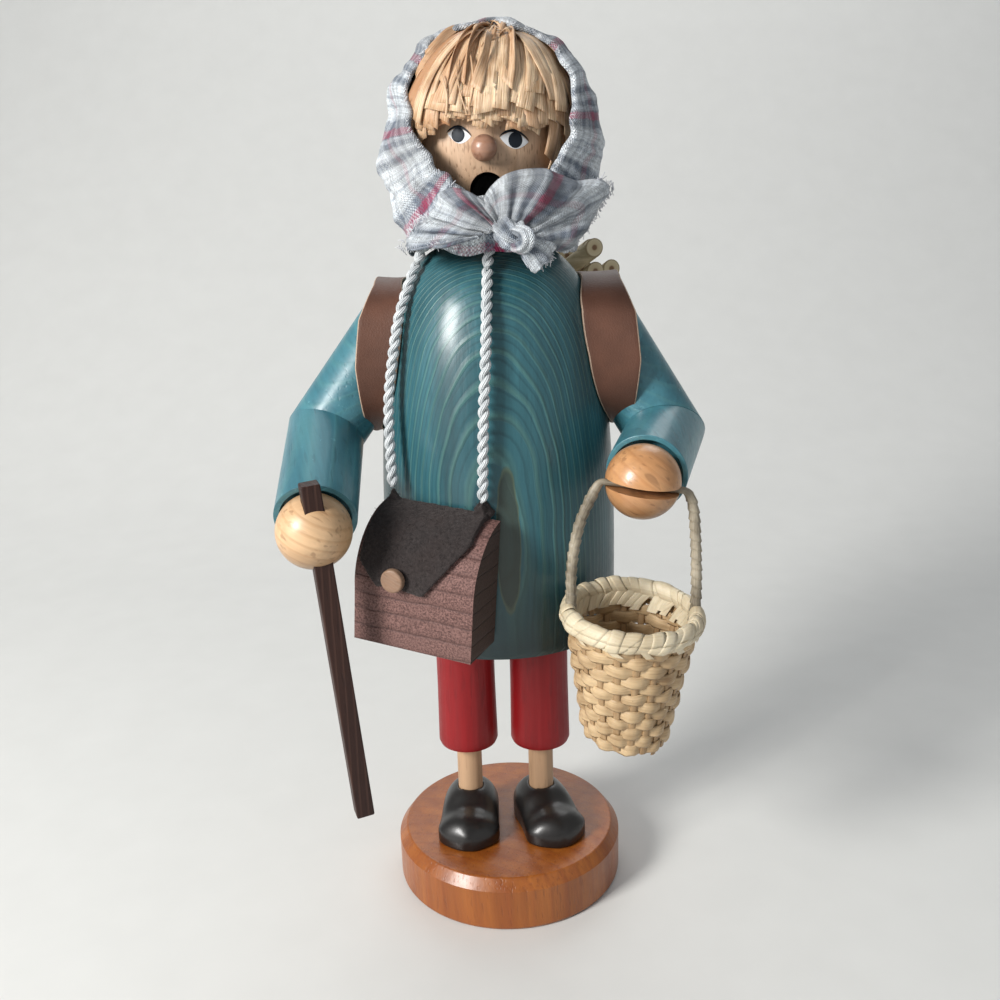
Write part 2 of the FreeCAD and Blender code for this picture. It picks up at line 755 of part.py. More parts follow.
def face_point(x, z):
    # The ball's surface in front of the given place.
    return head_y - math.sqrt(head_radius ** 2 - x ** 2 - (z - head_height) ** 2)


def nose(gap):
    tip = Vec(nose_x, face_point(nose_x, nose_height) - nose_set_back, nose_height)
    ball = Part.makeSphere(nose_radius + gap, tip)
    peg = bar(tip + away * (nose_radius + nose_peg_length), tip, nose_peg_radius + gap)
    return ball.fuse(peg).removeSplitter()


def hair_ball(gap):
    centre = Vec(0, head_y - hair_forward, head_height + hair_rise)
    return Part.makeSphere(head_radius + hair_thickness + gap, centre)


def hair_shell():
    scalp = Part.makeSphere(head_radius + glue_gap, Vec(0, head_y, head_height))
    return hair_ball(0).cut(scalp)


def hair_fringe(shell):
    reach = head_radius + head_radius
    keep = block(Vec(-reach, -reach, fringe_height), Vec(reach, fringe_back, fringe_height + reach))
    return one_solid(shell.common(keep))


def hair_side(shell, side):
    reach = head_radius + head_radius
    inner, outer = side * hair_side_front, side * reach
    keep = block(Vec(min(inner, outer), -reach, hair_side_bottom),
                 Vec(max(inner, outer), fringe_back, fringe_height - glue_gap))
    return one_solid(shell.common(keep))


def folded_ring(radius, fold, z):
    # A closed ring of equal arcs whose middles stand out and whose ends are drawn in.
    arcs = []
    step = 2 * math.pi / kerchief_fold_count
    deep, full = radius * (1 - fold), radius * (1 + fold)
    for number in range(kerchief_fold_count):
        first, middle, last = (step * (number + share) for share in (0, 0.5, 1))
        ends = [Vec(r * math.cos(a) + kerchief_shift_x, r * math.sin(a) + head_y, z)
                for r, a in ((deep, first), (full, middle), (deep, last))]
        arcs.append(Part.Arc(ends[0], ends[1], ends[2]).toShape())
    return Part.Wire(arcs)


def kerchief(coat, cord_room):
    rings = [folded_ring(kerchief_width * wide, fold, kerchief_bottom + kerchief_height * high)
             for high, wide, fold in kerchief_shares]
    cloth = Part.makeLoft(rings, True, False)
    collar = Part.makeCylinder(head_radius - hair_thickness / 2, head_height - kerchief_bottom + overrun,
                               Vec(0, head_y, kerchief_bottom - overrun))
    opening = bar(Vec(face_opening_x, head_y, face_opening_height),
                  Vec(face_opening_x, -coat_height, face_opening_height), face_opening_radius)
    return one_solid(cloth.cut([hair_ball(glue_gap), collar, opening, coat, cord_room]))


def kerchief_knot():
    radius = knot_height / 2
    end = Vec(knot_width / 2 - radius, 0, 0)
    knot = bar(end * -1, end, radius).fuse(Part.makeSphere(radius, end)).fuse(Part.makeSphere(radius, end * -1))
    knot.translate(knot_centre)
    for side in (-1, 1):
        tail = Part.makeBox(knot_tail_width, knot_tail_thickness, knot_tail_length,
                            Vec(-knot_tail_width / 2, -knot_tail_thickness / 2, -knot_tail_length))
        tail.rotate(origin, away, -side * knot_tail_angle)
        tail.translate(knot_centre)
        knot = knot.fuse(tail)
    return one_solid(knot)


def main():
    os.makedirs("parts", exist_ok=True)
    outside = coat_outside()
    left = (left_shoulder, left_elbow, left_hand_centre)
    right = (right_shoulder, right_elbow, right_hand_centre)
    left_arm = upper_arm(*left, outside, -1)
    right_arm = upper_arm(*right, outside, 1)
    save("base_disc", base_disc())
    save("left_shoe", shoe(left_leg_x, left_shoe_turn))
    save("right_shoe", shoe(right_leg_x, right_shoe_turn))
    save("left_ankle_dowel", ankle_dowel(left_leg_x))
    save("right_ankle_dowel", ankle_dowel(right_leg_x))
    save("left_trouser_leg", trouser_leg(left_leg_x))
    save("right_trouser_leg", trouser_leg(right_leg_x))
    save("hem_plate", hem_plate())
    save("incense_tray", incense_tray())
    save("tray_nail", tray_nail())
    save("coat_body", coat_body(outside))
    save("shoulder_dowels", Part.makeCompound([shoulder_dowel(-1, 0), shoulder_dowel(1, 0)]))
    save("left_upper_arm", left_arm)
    save("right_upper_arm", right_arm)
    save("left_forearm", forearm(*left))
    save("right_forearm", forearm(*right))
    save("elbow_dowels", Part.makeCompound([elbow_dowel(*left, 0), elbow_dowel(*right, 0)]))
    save("wrist_dowels", Part.makeCompound([wrist_dowel(left_elbow, left_hand_centre, 0),
                                            wrist_dowel(right_elbow, right_hand_centre, 0)]))
    save("left_hand", left_hand())
    save("right_hand", right_hand())
    save("walking_stick", walking_stick(0))
    head = head_group()
    save("head", head)
    save("nose", nose(0))
    shell = hair_shell()
    save("hair_fringe", hair_fringe(shell))
    save("hair_left", hair_side(shell, -1))
    save("hair_right", hair_side(shell, 1))
    neck_room = soft_route(neck_route(), cord_radius + soft_gap)[0]
    save("kerchief", kerchief(outside, neck_room))
    save("kerchief_knot", kerchief_knot())
    save("bag_neck_cord", bag_cord("neck cord", neck_route()))
    save("bag_cord_left", bag_cord("left cord", hanging_route(cord_left_route, 0)))
    save("bag_cord_right", bag_cord("right cord", hanging_route(cord_right_route, 1)))
    save("bag_block", bag_block())
    save("bag_flap", bag_flap())
    save("bag_button", bag_frame(button_shape(0)))
    save("left_strap", strap(-1, left_strap_edge_shares, [outside, left_arm, forearm(*left)]))
    save("right_strap", strap(1, right_strap_edge_shares, [outside, right_arm, forearm(*right)]))
    save("carrying_board", carrying_board())
    save("stick_bundle", bundle_sticks())
    save("bundle_ties", bundle_ties())
    rim = basket_rim()
    save("basket_rim", rim)
    save("basket_wall", basket_wall(rim))
    save("basket_bottom", basket_bottom())
    save("basket_handle", basket_handle(rim))


main()
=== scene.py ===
import bmesh
import bpy
import random
from math import atan2, copysign, cos, degrees, exp, hypot, pi, radians, sin, sqrt, tau
from random import uniform
from mathutils import Matrix, Vector, noise


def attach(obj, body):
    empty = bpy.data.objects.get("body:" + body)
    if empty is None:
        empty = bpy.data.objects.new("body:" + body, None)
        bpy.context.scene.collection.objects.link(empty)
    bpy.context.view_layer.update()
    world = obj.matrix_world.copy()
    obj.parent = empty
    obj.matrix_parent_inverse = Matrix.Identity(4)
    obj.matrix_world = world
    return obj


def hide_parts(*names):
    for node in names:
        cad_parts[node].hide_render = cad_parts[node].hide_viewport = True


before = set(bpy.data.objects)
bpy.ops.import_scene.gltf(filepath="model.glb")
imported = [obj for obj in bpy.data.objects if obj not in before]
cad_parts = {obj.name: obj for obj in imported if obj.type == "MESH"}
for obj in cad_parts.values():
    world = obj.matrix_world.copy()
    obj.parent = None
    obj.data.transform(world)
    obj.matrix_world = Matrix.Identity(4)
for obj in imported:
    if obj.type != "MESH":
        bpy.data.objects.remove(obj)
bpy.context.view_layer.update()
mm = 0.001
weldGap = 0.004 * mm
sharpEdge = 28.0
bagTurn = radians(22.0)
print("stage: frame loaded")


def vec(x, y, z):
    return Vector((x, y, z)) * mm


def mixed(a, b, share):
    return a + (b - a) * share


def smoothStep(low, high, value):
    t = min(1.0, max(0.0, (value - low) / (high - low)))
    return t * t * (3 - 2 * t)


def wobble(point, scale, seed=0.0):
    # smooth noise from -1 to 1 at a place; scale in metres
    return noise.noise(Vector(point) / scale + Vector((seed, seed * 1.7, seed * 0.3)))


def table(rows, value):
    # straight reading between the rows of a table of numbers
    if value <= rows[0][0]:
        return rows[0][1]
    for (a, low), (b, high) in zip(rows, rows[1:]):
        if value <= b:
            return mixed(low, high, (value - a) / (b - a))
    return rows[-1][1]


def spoke(a, b, angle):
    # the way that stands at an angle from a toward b
    return a * cos(angle) + b * sin(angle)


def frameAt(frames, share):
    return frames[round(share * (len(frames) - 1))]


def modified(piece, kind, **settings):
    made = piece.modifiers.new(kind.lower(), kind)
    for key, value in settings.items():
        setattr(made, key, value)


def finishPiece(name, bm, material, body, replaces=(), sharpAngle=None, merge=0.0, outward=False):
    # turns a bmesh into a named piece on its body; outward turns all faces out first
    if outward:
        bmesh.ops.recalc_face_normals(bm, faces=bm.faces)
    if merge:
        bmesh.ops.remove_doubles(bm, verts=bm.verts, dist=merge)
    for face in bm.faces:
        face.smooth = True
    if sharpAngle:
        for edge in bm.edges:
            if len(edge.link_faces) == 2 and edge.calc_face_angle(0) > radians(sharpAngle):
                edge.smooth = False
    mesh = bpy.data.meshes.new(name)
    bm.to_mesh(mesh)
    bm.free()
    piece = bpy.data.objects.new(name, mesh)
    bpy.context.scene.collection.objects.link(piece)
    mesh.materials.append(material)
    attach(piece, body)
    if replaces:
        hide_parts(*replaces)
    return piece


def addGrid(bm, across, along, place, size=(1.0, 1.0)):
    # a sheet of squares, each corner moved to place(u, v); size is its flat size for the UV map
    uvLayer = bm.loops.layers.uv.verify()
    made = bmesh.ops.create_grid(bm, x_segments=across, y_segments=along, size=0.5)["verts"]
    flat = {vert: (vert.co.x + 0.5, vert.co.y + 0.5) for vert in made}
    for face in {face for vert in made for face in vert.link_faces}:
        for loop in face.loops:
            u, v = flat[loop.vert]
            loop[uvLayer].uv = (u * size[0], v * size[1])
    for vert in made:
        vert.co = place(*flat[vert])
    return made


def splineLine(route, step):
    # the NURBS line through a route's control points, read at even steps
    curve = bpy.data.curves.new("route", "CURVE")
    curve.dimensions = "3D"
    curve.resolution_u = 24
    spline = curve.splines.new("NURBS")
    spline.points.add(len(route) - 1)
    for point, place in zip(spline.points, route):
        point.co = (*place, 1)
    spline.order_u = 3
    spline.use_endpoint_u = True
    holder = bpy.data.objects.new("route", curve)
    mesh = bpy.data.meshes.new_from_object(holder)
    points = [vert.co.copy() for vert in mesh.vertices]
    bpy.data.objects.remove(holder)
    bpy.data.curves.remove(curve)
    bpy.data.meshes.remove(mesh)
    # the points above lie unevenly, so the line is read again by its length
    lengths = [0.0]
    for a, b in zip(points, points[1:]):
        lengths.append(lengths[-1] + (b - a).length)
    count = max(2, round(lengths[-1] / step))
    even = []
    at = 0
    for number in range(count + 1):
        want = lengths[-1] * number / count
        while at < len(points) - 2 and lengths[at + 1] < want:
            at += 1
        share = (want - lengths[at]) / max(1e-9, lengths[at + 1] - lengths[at])
        even.append(mixed(points[at], points[at + 1], min(1.0, share)))
    return even, lengths[-1]


def lineFrames(points):
    # a turning-free pair of side directions at each point of a line
    frames = []
    side = None
    for number, point in enumerate(points):
        ahead = points[min(number + 1, len(points) - 1)] - points[max(number - 1, 0)]
        ahead.normalize()
        if side is None:
            side = ahead.orthogonal().normalized()
        side = (side - ahead * side.dot(ahead)).normalized()
        frames.append((point, side, ahead.cross(side)))
    return frames


def node(tree, kind, inputs=None, **settings):
    made = tree.nodes.new("ShaderNode" + kind)
    for key, value in settings.items():
        setattr(made, key, value)
    for key, value in (inputs or {}).items():
        if isinstance(value, bpy.types.NodeSocket):
            tree.links.new(value, made.inputs[key])
        else:
            made.inputs[key].default_value = value
    return made


def calc(tree, operation, a, b=0.0, c=0.0):
    return node(tree, "Math", {0: a, 1: b, 2: c}, operation=operation).outputs[0]


def times(tree, a, b):
    return calc(tree, "MULTIPLY", a, b)


def ramp(tree, value, stops):
    # each stop is a place with its colour, or with a number for grey
    made = node(tree, "ValToRGB", {0: value})
    elements = made.color_ramp.elements
    while len(elements) < len(stops):
        elements.new(0.5)
    for element, (place, colour) in zip(elements, stops):
        element.position = place
        element.color = (*colour, 1) if isinstance(colour, tuple) else (colour, colour, colour, 1)
    return made.outputs[0]


def cloudy(tree, place, scale, detail=2.0, rough=0.5):
    return node(tree, "TexNoise", {"Vector": place, "Scale": scale, "Detail": detail, "Roughness": rough}).outputs[0]


def mixColour(tree, share, a, b, blend="MIX"):
    made = node(tree, "Mix", data_type="RGBA", blend_type=blend)
    for socket, value in ((made.inputs[0], share), (made.inputs[6], a), (made.inputs[7], b)):
        if isinstance(value, bpy.types.NodeSocket):
            tree.links.new(value, socket)
        elif isinstance(value, tuple):
            socket.default_value = (*value, 1)
        else:
            socket.default_value = value
    return made.outputs[2]


def spread(tree, value, low, high, toLow=0.0, toHigh=1.0):
    made = node(tree, "MapRange", {0: value, 1: low, 2: high, 3: toLow, 4: toHigh})
    return made.outputs[0]


def placed(tree, offset=(0, 0, 0), turn=(0, 0, 0), scale=(1, 1, 1), source="Object"):
    coordinates = node(tree, "TexCoord")
    made = node(tree, "Mapping", {"Vector": coordinates.outputs[source], "Location": offset,
                                  "Rotation": turn, "Scale": scale}, vector_type="POINT")
    return made.outputs[0]


def group(name, inputs, outputs, build):
    tree = bpy.data.node_groups.new(name, "ShaderNodeTree")
    for label, kind, value in inputs:
        socket = tree.interface.new_socket(label, in_out="INPUT", socket_type="NodeSocket" + kind)
        if value is not None:
            socket.default_value = value
    for label, kind in outputs:
        tree.interface.new_socket(label, in_out="OUTPUT", socket_type="NodeSocket" + kind)
    source = tree.nodes.new("NodeGroupInput")
    target = tree.nodes.new("NodeGroupOutput")
    for label, socket in build(tree, source.outputs).items():
        tree.links.new(socket, target.inputs[label])
    return tree


def use(tree, made, inputs):
    placedGroup = tree.nodes.new("ShaderNodeGroup")
    placedGroup.node_tree = made
    for key, value in inputs.items():
        if isinstance(value, bpy.types.NodeSocket):
            tree.links.new(value, placedGroup.inputs[key])
        else:
            placedGroup.inputs[key].default_value = value
    return placedGroup.outputs


def buildRings(tree, source):
    # growth rings round the Z axis of the given place: thin late-wood lines on broad bands
    low = cloudy(tree, source["Place"], 28.0)
    parts = node(tree, "SeparateXYZ", {0: source["Place"]})
    flat = node(tree, "CombineXYZ", {0: parts.outputs[0], 1: parts.outputs[1]})
    away = node(tree, "VectorMath", {0: flat.outputs[0]}, operation="LENGTH").outputs["Value"]
    bent = calc(tree, "MULTIPLY_ADD", calc(tree, "SUBTRACT", low, 0.5), source["Waver"], away)
    turns = calc(tree, "DIVIDE", bent, source["Spacing"])
    season = calc(tree, "FRACT", turns)
    line = ramp(tree, season, [(0.0, 0), (0.62, 0), (0.86, 1), (0.97, 0.5), (1.0, 0)])
    year = node(tree, "TexWhiteNoise", {"W": calc(tree, "FLOOR", turns)}, noise_dimensions="1D")
    return {"Line": line, "Year": year.outputs[0]}


def buildFibre(tree, source):
    # long fibres and short dark pores along Z
    stretch = node(tree, "VectorMath", {0: source["Place"], 1: (1.0, 1.0, 0.045)}, operation="MULTIPLY").outputs[0]
    fine = cloudy(tree, stretch, source["Scale"], 3.0, 0.6)
    dash = node(tree, "VectorMath", {0: source["Place"], 1: (1.0, 1.0, 0.16)}, operation="MULTIPLY").outputs[0]
    pore = cloudy(tree, dash, source["Scale"], 1.0)
    flecks = ramp(tree, pore, [(0.0, 0), (0.60, 0), (0.70, 1)])
    broad = cloudy(tree, stretch, times(tree, source["Scale"], 0.16))
    return {"Fibre": fine, "Pores": flecks, "Broad": broad}


def buildWear(tree, source):
    # scuffs and specks: a mask of small worn places
    blot = cloudy(tree, source["Place"], source["Scale"], 5.0, 0.7)
    return {"Mask": spread(tree, blot, source["Limit"], calc(tree, "ADD", source["Limit"], 0.06)), "Blot": blot}


def buildYarn(tree, source):
    # over-and-under threads of a plain weave on a flat map
    parts = node(tree, "SeparateXYZ", {0: source["Flat"]})
    turns = calc(tree, "DIVIDE", tau, source["Pitch"])
    warp, weft = (calc(tree, "SINE", times(tree, parts.outputs[k], turns)) for k in (0, 1))
    return {"Height": spread(tree, times(tree, warp, weft), -1.0, 1.0)}


growthRings = group("growthRings", [("Place", "Vector", None), ("Spacing", "Float", 0.0012), ("Waver", "Float", 0.002)],
                    [("Line", "Float"), ("Year", "Float")], buildRings)
woodFibre = group("woodFibre", [("Place", "Vector", None), ("Scale", "Float", 900.0)],
                  [("Fibre", "Float"), ("Pores", "Float"), ("Broad", "Float")], buildFibre)
wornPlaces = group("wornPlaces", [("Place", "Vector", None), ("Scale", "Float", 200.0), ("Limit", "Float", 0.62)],
                   [("Mask", "Float"), ("Blot", "Float")], buildWear)
plainWeave = group("plainWeave", [("Flat", "Vector", None), ("Pitch", "Float", 0.0006)],
                   [("Height", "Float")], buildYarn)


def newMaterial(name):
    material = bpy.data.materials.new(name)
    material.use_nodes = True
    return material, material.node_tree


def stainOf(material):
    # the tree of a finished material, and what its base colour comes from
    shader = material.node_tree.nodes["Principled BSDF"]
    return material.node_tree, shader.inputs["Base Color"].links[0].from_socket


def dress(material, base, rough=None, height=None, depth=0.0, settings=None):
    # colour, roughness, relief (a height and its depth) and other settings of a material's shader
    tree = material.node_tree
    shader = tree.nodes["Principled BSDF"]
    for label, value in (("Base Color", base), ("Roughness", rough)):
        if isinstance(value, bpy.types.NodeSocket):
            tree.links.new(value, shader.inputs[label])
        elif value is not None:
            shader.inputs[label].default_value = value
    for label, value in (settings or {}).items():
        shader.inputs[label].default_value = value
    if height is not None:
        bump = node(tree, "Bump", {"Height": height, "Distance": depth})
        tree.links.new(bump.outputs[0], shader.inputs["Normal"])
    return material


# the values that a wood's look leaves out
woodDefaults = {"offset": (0, 0, 0), "turn": (0, 0, 0), "waver": 0.002, "fibreScale": 900.0, "yearShare": 0.3,
                "lineShare": 0.6, "poreShare": 0.5, "streak": 0.12, "wornScale": 260.0, "wornLimit": 0.72,
                "rough": 0.4, "coat": 0.0, "coatRough": 0.15, "specular": 0.5, "ringRelief": 0.5, "poreRelief": 0.6,
                "relief": 0.06 * mm}


def shaded(tree, colour, shade):
    # a colour made darker or lighter by a number
    grey = node(tree, "CombineColor", {0: shade, 1: shade, 2: shade}).outputs[0]
    return mixColour(tree, 1.0, colour, grey, "MULTIPLY")


def stainedWood(name, look):
    # stained or lacquered wood: growth rings, fibres, pores and worn specks
    material, tree = newMaterial(name)
    look = {**woodDefaults, "worn": look["light"], **look}
    place = placed(tree, look["offset"], look["turn"])
    rings = use(tree, growthRings, {"Place": place, "Spacing": look["spacing"], "Waver": look["waver"]})
    fibre = use(tree, woodFibre, {"Place": place, "Scale": look["fibreScale"]})
    base = mixColour(tree, spread(tree, fibre["Broad"], 0.3, 0.7), look["dark"], look["light"])
    base = mixColour(tree, times(tree, rings["Year"], look["yearShare"]), base, look["light"])
    base = mixColour(tree, times(tree, rings["Line"], look["lineShare"]), base, look["line"])
    if "fine" in look:
        between = use(tree, growthRings, {"Place": place, "Spacing": look["fine"], "Waver": look["waver"]})
        base = mixColour(tree, times(tree, between["Line"], look["fineShare"]), base, look["fineLine"])
    base = mixColour(tree, times(tree, fibre["Pores"], look["poreShare"]), base, look["pore"])
    streak = spread(tree, fibre["Fibre"], 0.25, 0.75, 1 - look["streak"], 1 + look["streak"])
    base = shaded(tree, base, streak)
    worn = use(tree, wornPlaces, {"Place": place, "Scale": look["wornScale"], "Limit": look["wornLimit"]})
    base = mixColour(tree, worn["Mask"], base, look["worn"])
    relief = calc(tree, "MULTIPLY_ADD", rings["Line"], look["ringRelief"], times(tree, fibre["Fibre"], 0.6))
    relief = calc(tree, "SUBTRACT", relief, times(tree, fibre["Pores"], look["poreRelief"]))
    rough = spread(tree, worn["Blot"], 0.3, 0.7, look["rough"] - 0.08, look["rough"] + 0.08)
    return dress(material, base, rough, relief, look["relief"], {
        "Coat Weight": look["coat"], "Coat Roughness": look["coatRough"], "Specular IOR Level": look["specular"]})


materials = {
    "coat": stainedWood("tealStainedCoat", {
        "specular": 0.36, "offset": (-0.0005, -0.046, 0), "turn": (0.012, 0.0, 0), "spacing": 0.00082,
        "waver": 0.0017, "dark": (0.011, 0.058, 0.073), "light": (0.036, 0.138, 0.167),
        "line": (0.102, 0.228, 0.188), "pore": (0.010, 0.045, 0.058), "lineShare": 0.42, "poreShare": 0.15,
        "coat": 0.42, "coatRough": 0.21, "rough": 0.42, "worn": (0.05, 0.17, 0.19), "wornLimit": 0.78,
        "relief": 0.00010, "poreRelief": 0.12, "ringRelief": 0.9, "fine": 0.00036, "fineShare": 0.45,
        "fineLine": (0.007, 0.044, 0.056)}),
    "sleeve": stainedWood("tealStainedSleeve", {
        "offset": (0, 0.03, 0.02), "turn": (1.2, 0.25, 0), "spacing": 0.0024, "waver": 0.003,
        "dark": (0.026, 0.125, 0.165), "light": (0.062, 0.222, 0.270), "line": (0.075, 0.225, 0.235),
        "pore": (0.02, 0.08, 0.11), "lineShare": 0.35, "poreShare": 0.3, "coat": 0.45, "coatRough": 0.24,
        "rough": 0.46, "worn": (0.10, 0.28, 0.32), "wornLimit": 0.64, "wornScale": 420.0}),
    "base": stainedWood("lacqueredBaseBeech", {
        "offset": (0.02, 0.07, 0.0), "turn": (0.03, 0.05, 0.12), "spacing": 0.004, "dark": (0.215, 0.050, 0.005),
        "light": (0.345, 0.104, 0.014), "line": (0.24, 0.055, 0.008), "pore": (0.15, 0.038, 0.010),
        "lineShare": 0.4, "poreShare": 0.28, "coat": 0.28, "coatRough": 0.22, "rough": 0.4, "fibreScale": 1400.0}),
    "red": stainedWood("redStainedWood", {
        "offset": (0.01, 0.03, 0), "spacing": 0.0021, "specular": 0.3, "dark": (0.175, 0.003, 0.005),
        "light": (0.265, 0.005, 0.008), "line": (0.27, 0.016, 0.019), "pore": (0.12, 0.006, 0.009), "lineShare": 0.3,
        "poreShare": 0.25, "coat": 0.15, "coatRough": 0.35, "rough": 0.5}),
    "beech": stainedWood("plainBeech", {
        "offset": (0.01, 0.02, 0), "spacing": 0.003, "dark": (0.40, 0.24, 0.135), "light": (0.52, 0.335, 0.20),
        "line": (0.43, 0.265, 0.15), "pore": (0.26, 0.14, 0.07), "lineShare": 0.25, "poreShare": 0.25, "rough": 0.55}),
    "leftHand": stainedWood("leftHandBeech", {
        "offset": (0.06, 0.05, 0.02), "turn": (0.3, 1.1, 0.4), "spacing": 0.0022, "dark": (0.52, 0.31, 0.155),
        "light": (0.66, 0.43, 0.24), "line": (0.48, 0.27, 0.125), "pore": (0.25, 0.13, 0.06), "lineShare": 0.55,
        "rough": 0.42, "coat": 0.3, "coatRough": 0.3}),
    "rightHand": stainedWood("rightHandBeech", {
        "offset": (-0.02, 0.06, -0.1), "turn": (0.2, 0.9, -0.3), "spacing": 0.0026, "dark": (0.44, 0.205, 0.080),
        "light": (0.58, 0.30, 0.130), "line": (0.40, 0.17, 0.06), "pore": (0.20, 0.09, 0.035), "lineShare": 0.4,
        "rough": 0.38, "coat": 0.45, "coatRough": 0.22}),
    "face": stainedWood("faceBeech", {
        "offset": (0.01, 0.04, 0), "spacing": 0.0035, "dark": (0.49, 0.31, 0.190), "light": (0.63, 0.43, 0.285),
        "line": (0.47, 0.29, 0.17), "pore": (0.16, 0.07, 0.03), "lineShare": 0.3, "poreShare": 0.5,
        "rough": 0.5, "coat": 0.15, "fibreScale": 2300.0, "relief": 0.00006}),
    "nose": stainedWood("noseBeech", {
        "offset": (0.01, 0.04, 0), "turn": (1.4, 0, 0), "spacing": 0.0018, "dark": (0.30, 0.155, 0.100),
        "light": (0.38, 0.215, 0.145), "line": (0.36, 0.17, 0.09), "pore": (0.2, 0.09, 0.05), "lineShare": 0.4,
        "rough": 0.38, "coat": 0.3}),
    "stick": stainedWood("darkStainedStick", {
        "offset": (0.05, 0.05, 0), "spacing": 0.0016, "dark": (0.022, 0.008, 0.006), "light": (0.042, 0.016, 0.011),
        "line": (0.095, 0.045, 0.032), "pore": (0.02, 0.009, 0.007), "lineShare": 0.4, "rough": 0.5, "specular": 0.3}),
    "button": stainedWood("buttonBeech", {
        "offset": (0.02, 0.02, 0), "turn": (0.0, 1.2, 0.4), "spacing": 0.0012, "dark": (0.20, 0.115, 0.070),
        "light": (0.28, 0.175, 0.115), "line": (0.24, 0.13, 0.075), "pore": (0.2, 0.11, 0.06), "rough": 0.5}),
    "board": stainedWood("boardWood", {
        "offset": (0.0, -0.06, 0), "spacing": 0.0028, "waver": 0.006, "dark": (0.42, 0.25, 0.13),
        "light": (0.55, 0.36, 0.2), "line": (0.36, 0.2, 0.09), "pore": (0.2, 0.11, 0.05), "lineShare": 0.5,
        "rough": 0.6}),
}


def shoeLacquer():
    material, tree = newMaterial("blackShoeLacquer")
    worn = use(tree, wornPlaces, {"Place": placed(tree), "Scale": 160.0, "Limit": 0.66})
    return dress(material, mixColour(tree, worn["Mask"], (0.007, 0.006, 0.006), (0.017, 0.014, 0.013)),
                 spread(tree, worn["Blot"], 0.3, 0.7, 0.34, 0.46), worn["Blot"], 0.10 * mm,
                 {"Coat Weight": 0.35, "Coat Roughness": 0.22})


def sawnWood():
    # the bag's mauve-stained block: rough speckled face, wavy saw lines, and dark end grain deepened by painted shade
    look = {"dark": (0.066, 0.027, 0.023), "light": (0.245, 0.128, 0.110), "line": (0.070, 0.032, 0.028),
            "cloud": (0.15, 0.08, 0.07), "end": (0.026, 0.014, 0.012), "pitch": 3.8 * mm, "waver": 2.2 * mm}
    material, tree = newMaterial("mauveSawnWood")
    place = placed(tree, turn=(0, radians(-5.0), bagTurn))
    parts = node(tree, "SeparateXYZ", {0: place})
    sway = cloudy(tree, place, 70.0)
    height = calc(tree, "MULTIPLY_ADD", calc(tree, "SUBTRACT", sway, 0.5), look["waver"], parts.outputs[2])
    saw = calc(tree, "FRACT", calc(tree, "DIVIDE", height, look["pitch"]))
    groove = ramp(tree, saw, [(0.0, 1), (0.10, 0.35), (0.30, 0), (0.90, 0), (1.0, 1)])
    speck = cloudy(tree, place, 2600.0, 2.0, 0.7)
    base = mixColour(tree, spread(tree, speck, 0.36, 0.64), look["dark"], look["light"])
    base = mixColour(tree, spread(tree, cloudy(tree, place, 120.0), 0.40, 0.75, 0.0, 0.35), base, look["cloud"])
    base = mixColour(tree, times(tree, groove, 0.6), base, look["line"])
    end = node(tree, "Attribute", attribute_name="endGrainShade").outputs["Fac"]
    # the block's sides get a dark colour that is end grain and partly painted shade
    base = mixColour(tree, times(tree, end, 0.9), base, look["end"])
    return dress(material, base, 0.72, calc(tree, "SUBTRACT", times(tree, speck, 0.7), groove), 0.25 * mm)


def feltCloth():
    material, tree = newMaterial("darkFelt")
    place = placed(tree)
    fibres = cloudy(tree, place, 1500.0, 4.0, 0.8)
    base = mixColour(tree, spread(tree, fibres, 0.35, 0.7), (0.010, 0.007, 0.007), (0.042, 0.033, 0.032))
    cloud = spread(tree, cloudy(tree, place, 180.0), 0.4, 0.7, 0.0, 0.4)
    return dress(material, mixColour(tree, cloud, base, (0.030, 0.019, 0.017)), 0.95, fibres, 0.35 * mm,
                 {"Sheen Weight": 0.25, "Sheen Roughness": 0.5, "Sheen Tint": (0.5, 0.42, 0.40, 1)})


def brownLeather():
    material, tree = newMaterial("brownLeather")
    place = placed(tree)
    cells = node(tree, "TexVoronoi", {"Vector": place, "Scale": 1500.0}, feature="DISTANCE_TO_EDGE").outputs[0]
    cloud = cloudy(tree, place, 90.0, 3.0)
    return dress(material, mixColour(tree, spread(tree, cloud, 0.3, 0.7), (0.068, 0.026, 0.014), (0.122, 0.047, 0.026)),
                 spread(tree, cloud, 0.3, 0.7, 0.46, 0.62), spread(tree, cells, 0.0, 0.25), 0.02 * mm)


def silverYarn():
    # fine threads that run at a slant round each strand
    material, tree = newMaterial("silverTwistYarn")
    parts = node(tree, "SeparateXYZ", {0: placed(tree, source="UV")})
    slant = calc(tree, "ADD", times(tree, parts.outputs[0], 9.0), times(tree, parts.outputs[1], 700.0))
    threads = calc(tree, "SINE", times(tree, slant, tau))
    tone = calc(tree, "MULTIPLY_ADD", threads, 0.25, cloudy(tree, placed(tree), 700.0))
    base = mixColour(tree, spread(tree, tone, 0.2, 0.8), (0.42, 0.45, 0.47), (0.84, 0.87, 0.88))
    return dress(material, base, 0.42, threads, 0.06 * mm, {"Sheen Weight": 0.3, "Anisotropic": 0.4})


def metalSheet(name, colour, rough):
    material, tree = newMaterial(name)
    worn = use(tree, wornPlaces, {"Place": placed(tree), "Scale": 300.0, "Limit": 0.6})
    return dress(material, mixColour(tree, worn["Mask"], colour, tuple(c * 0.55 for c in colour)),
                 spread(tree, worn["Blot"], 0.3, 0.7, rough, rough + 0.2), worn["Blot"], 0.04 * mm, {"Metallic": 1.0})


def paintedShadeBelow(material, low, high, share, colour):
    # painted shade toward the wood's lower side, from the height high down to low
    tree, stained = stainOf(material)
    height = node(tree, "SeparateXYZ", {0: placed(tree)}).outputs[2]
    dress(material, mixColour(tree, spread(tree, height, low, high, share, 0.0), stained, colour))


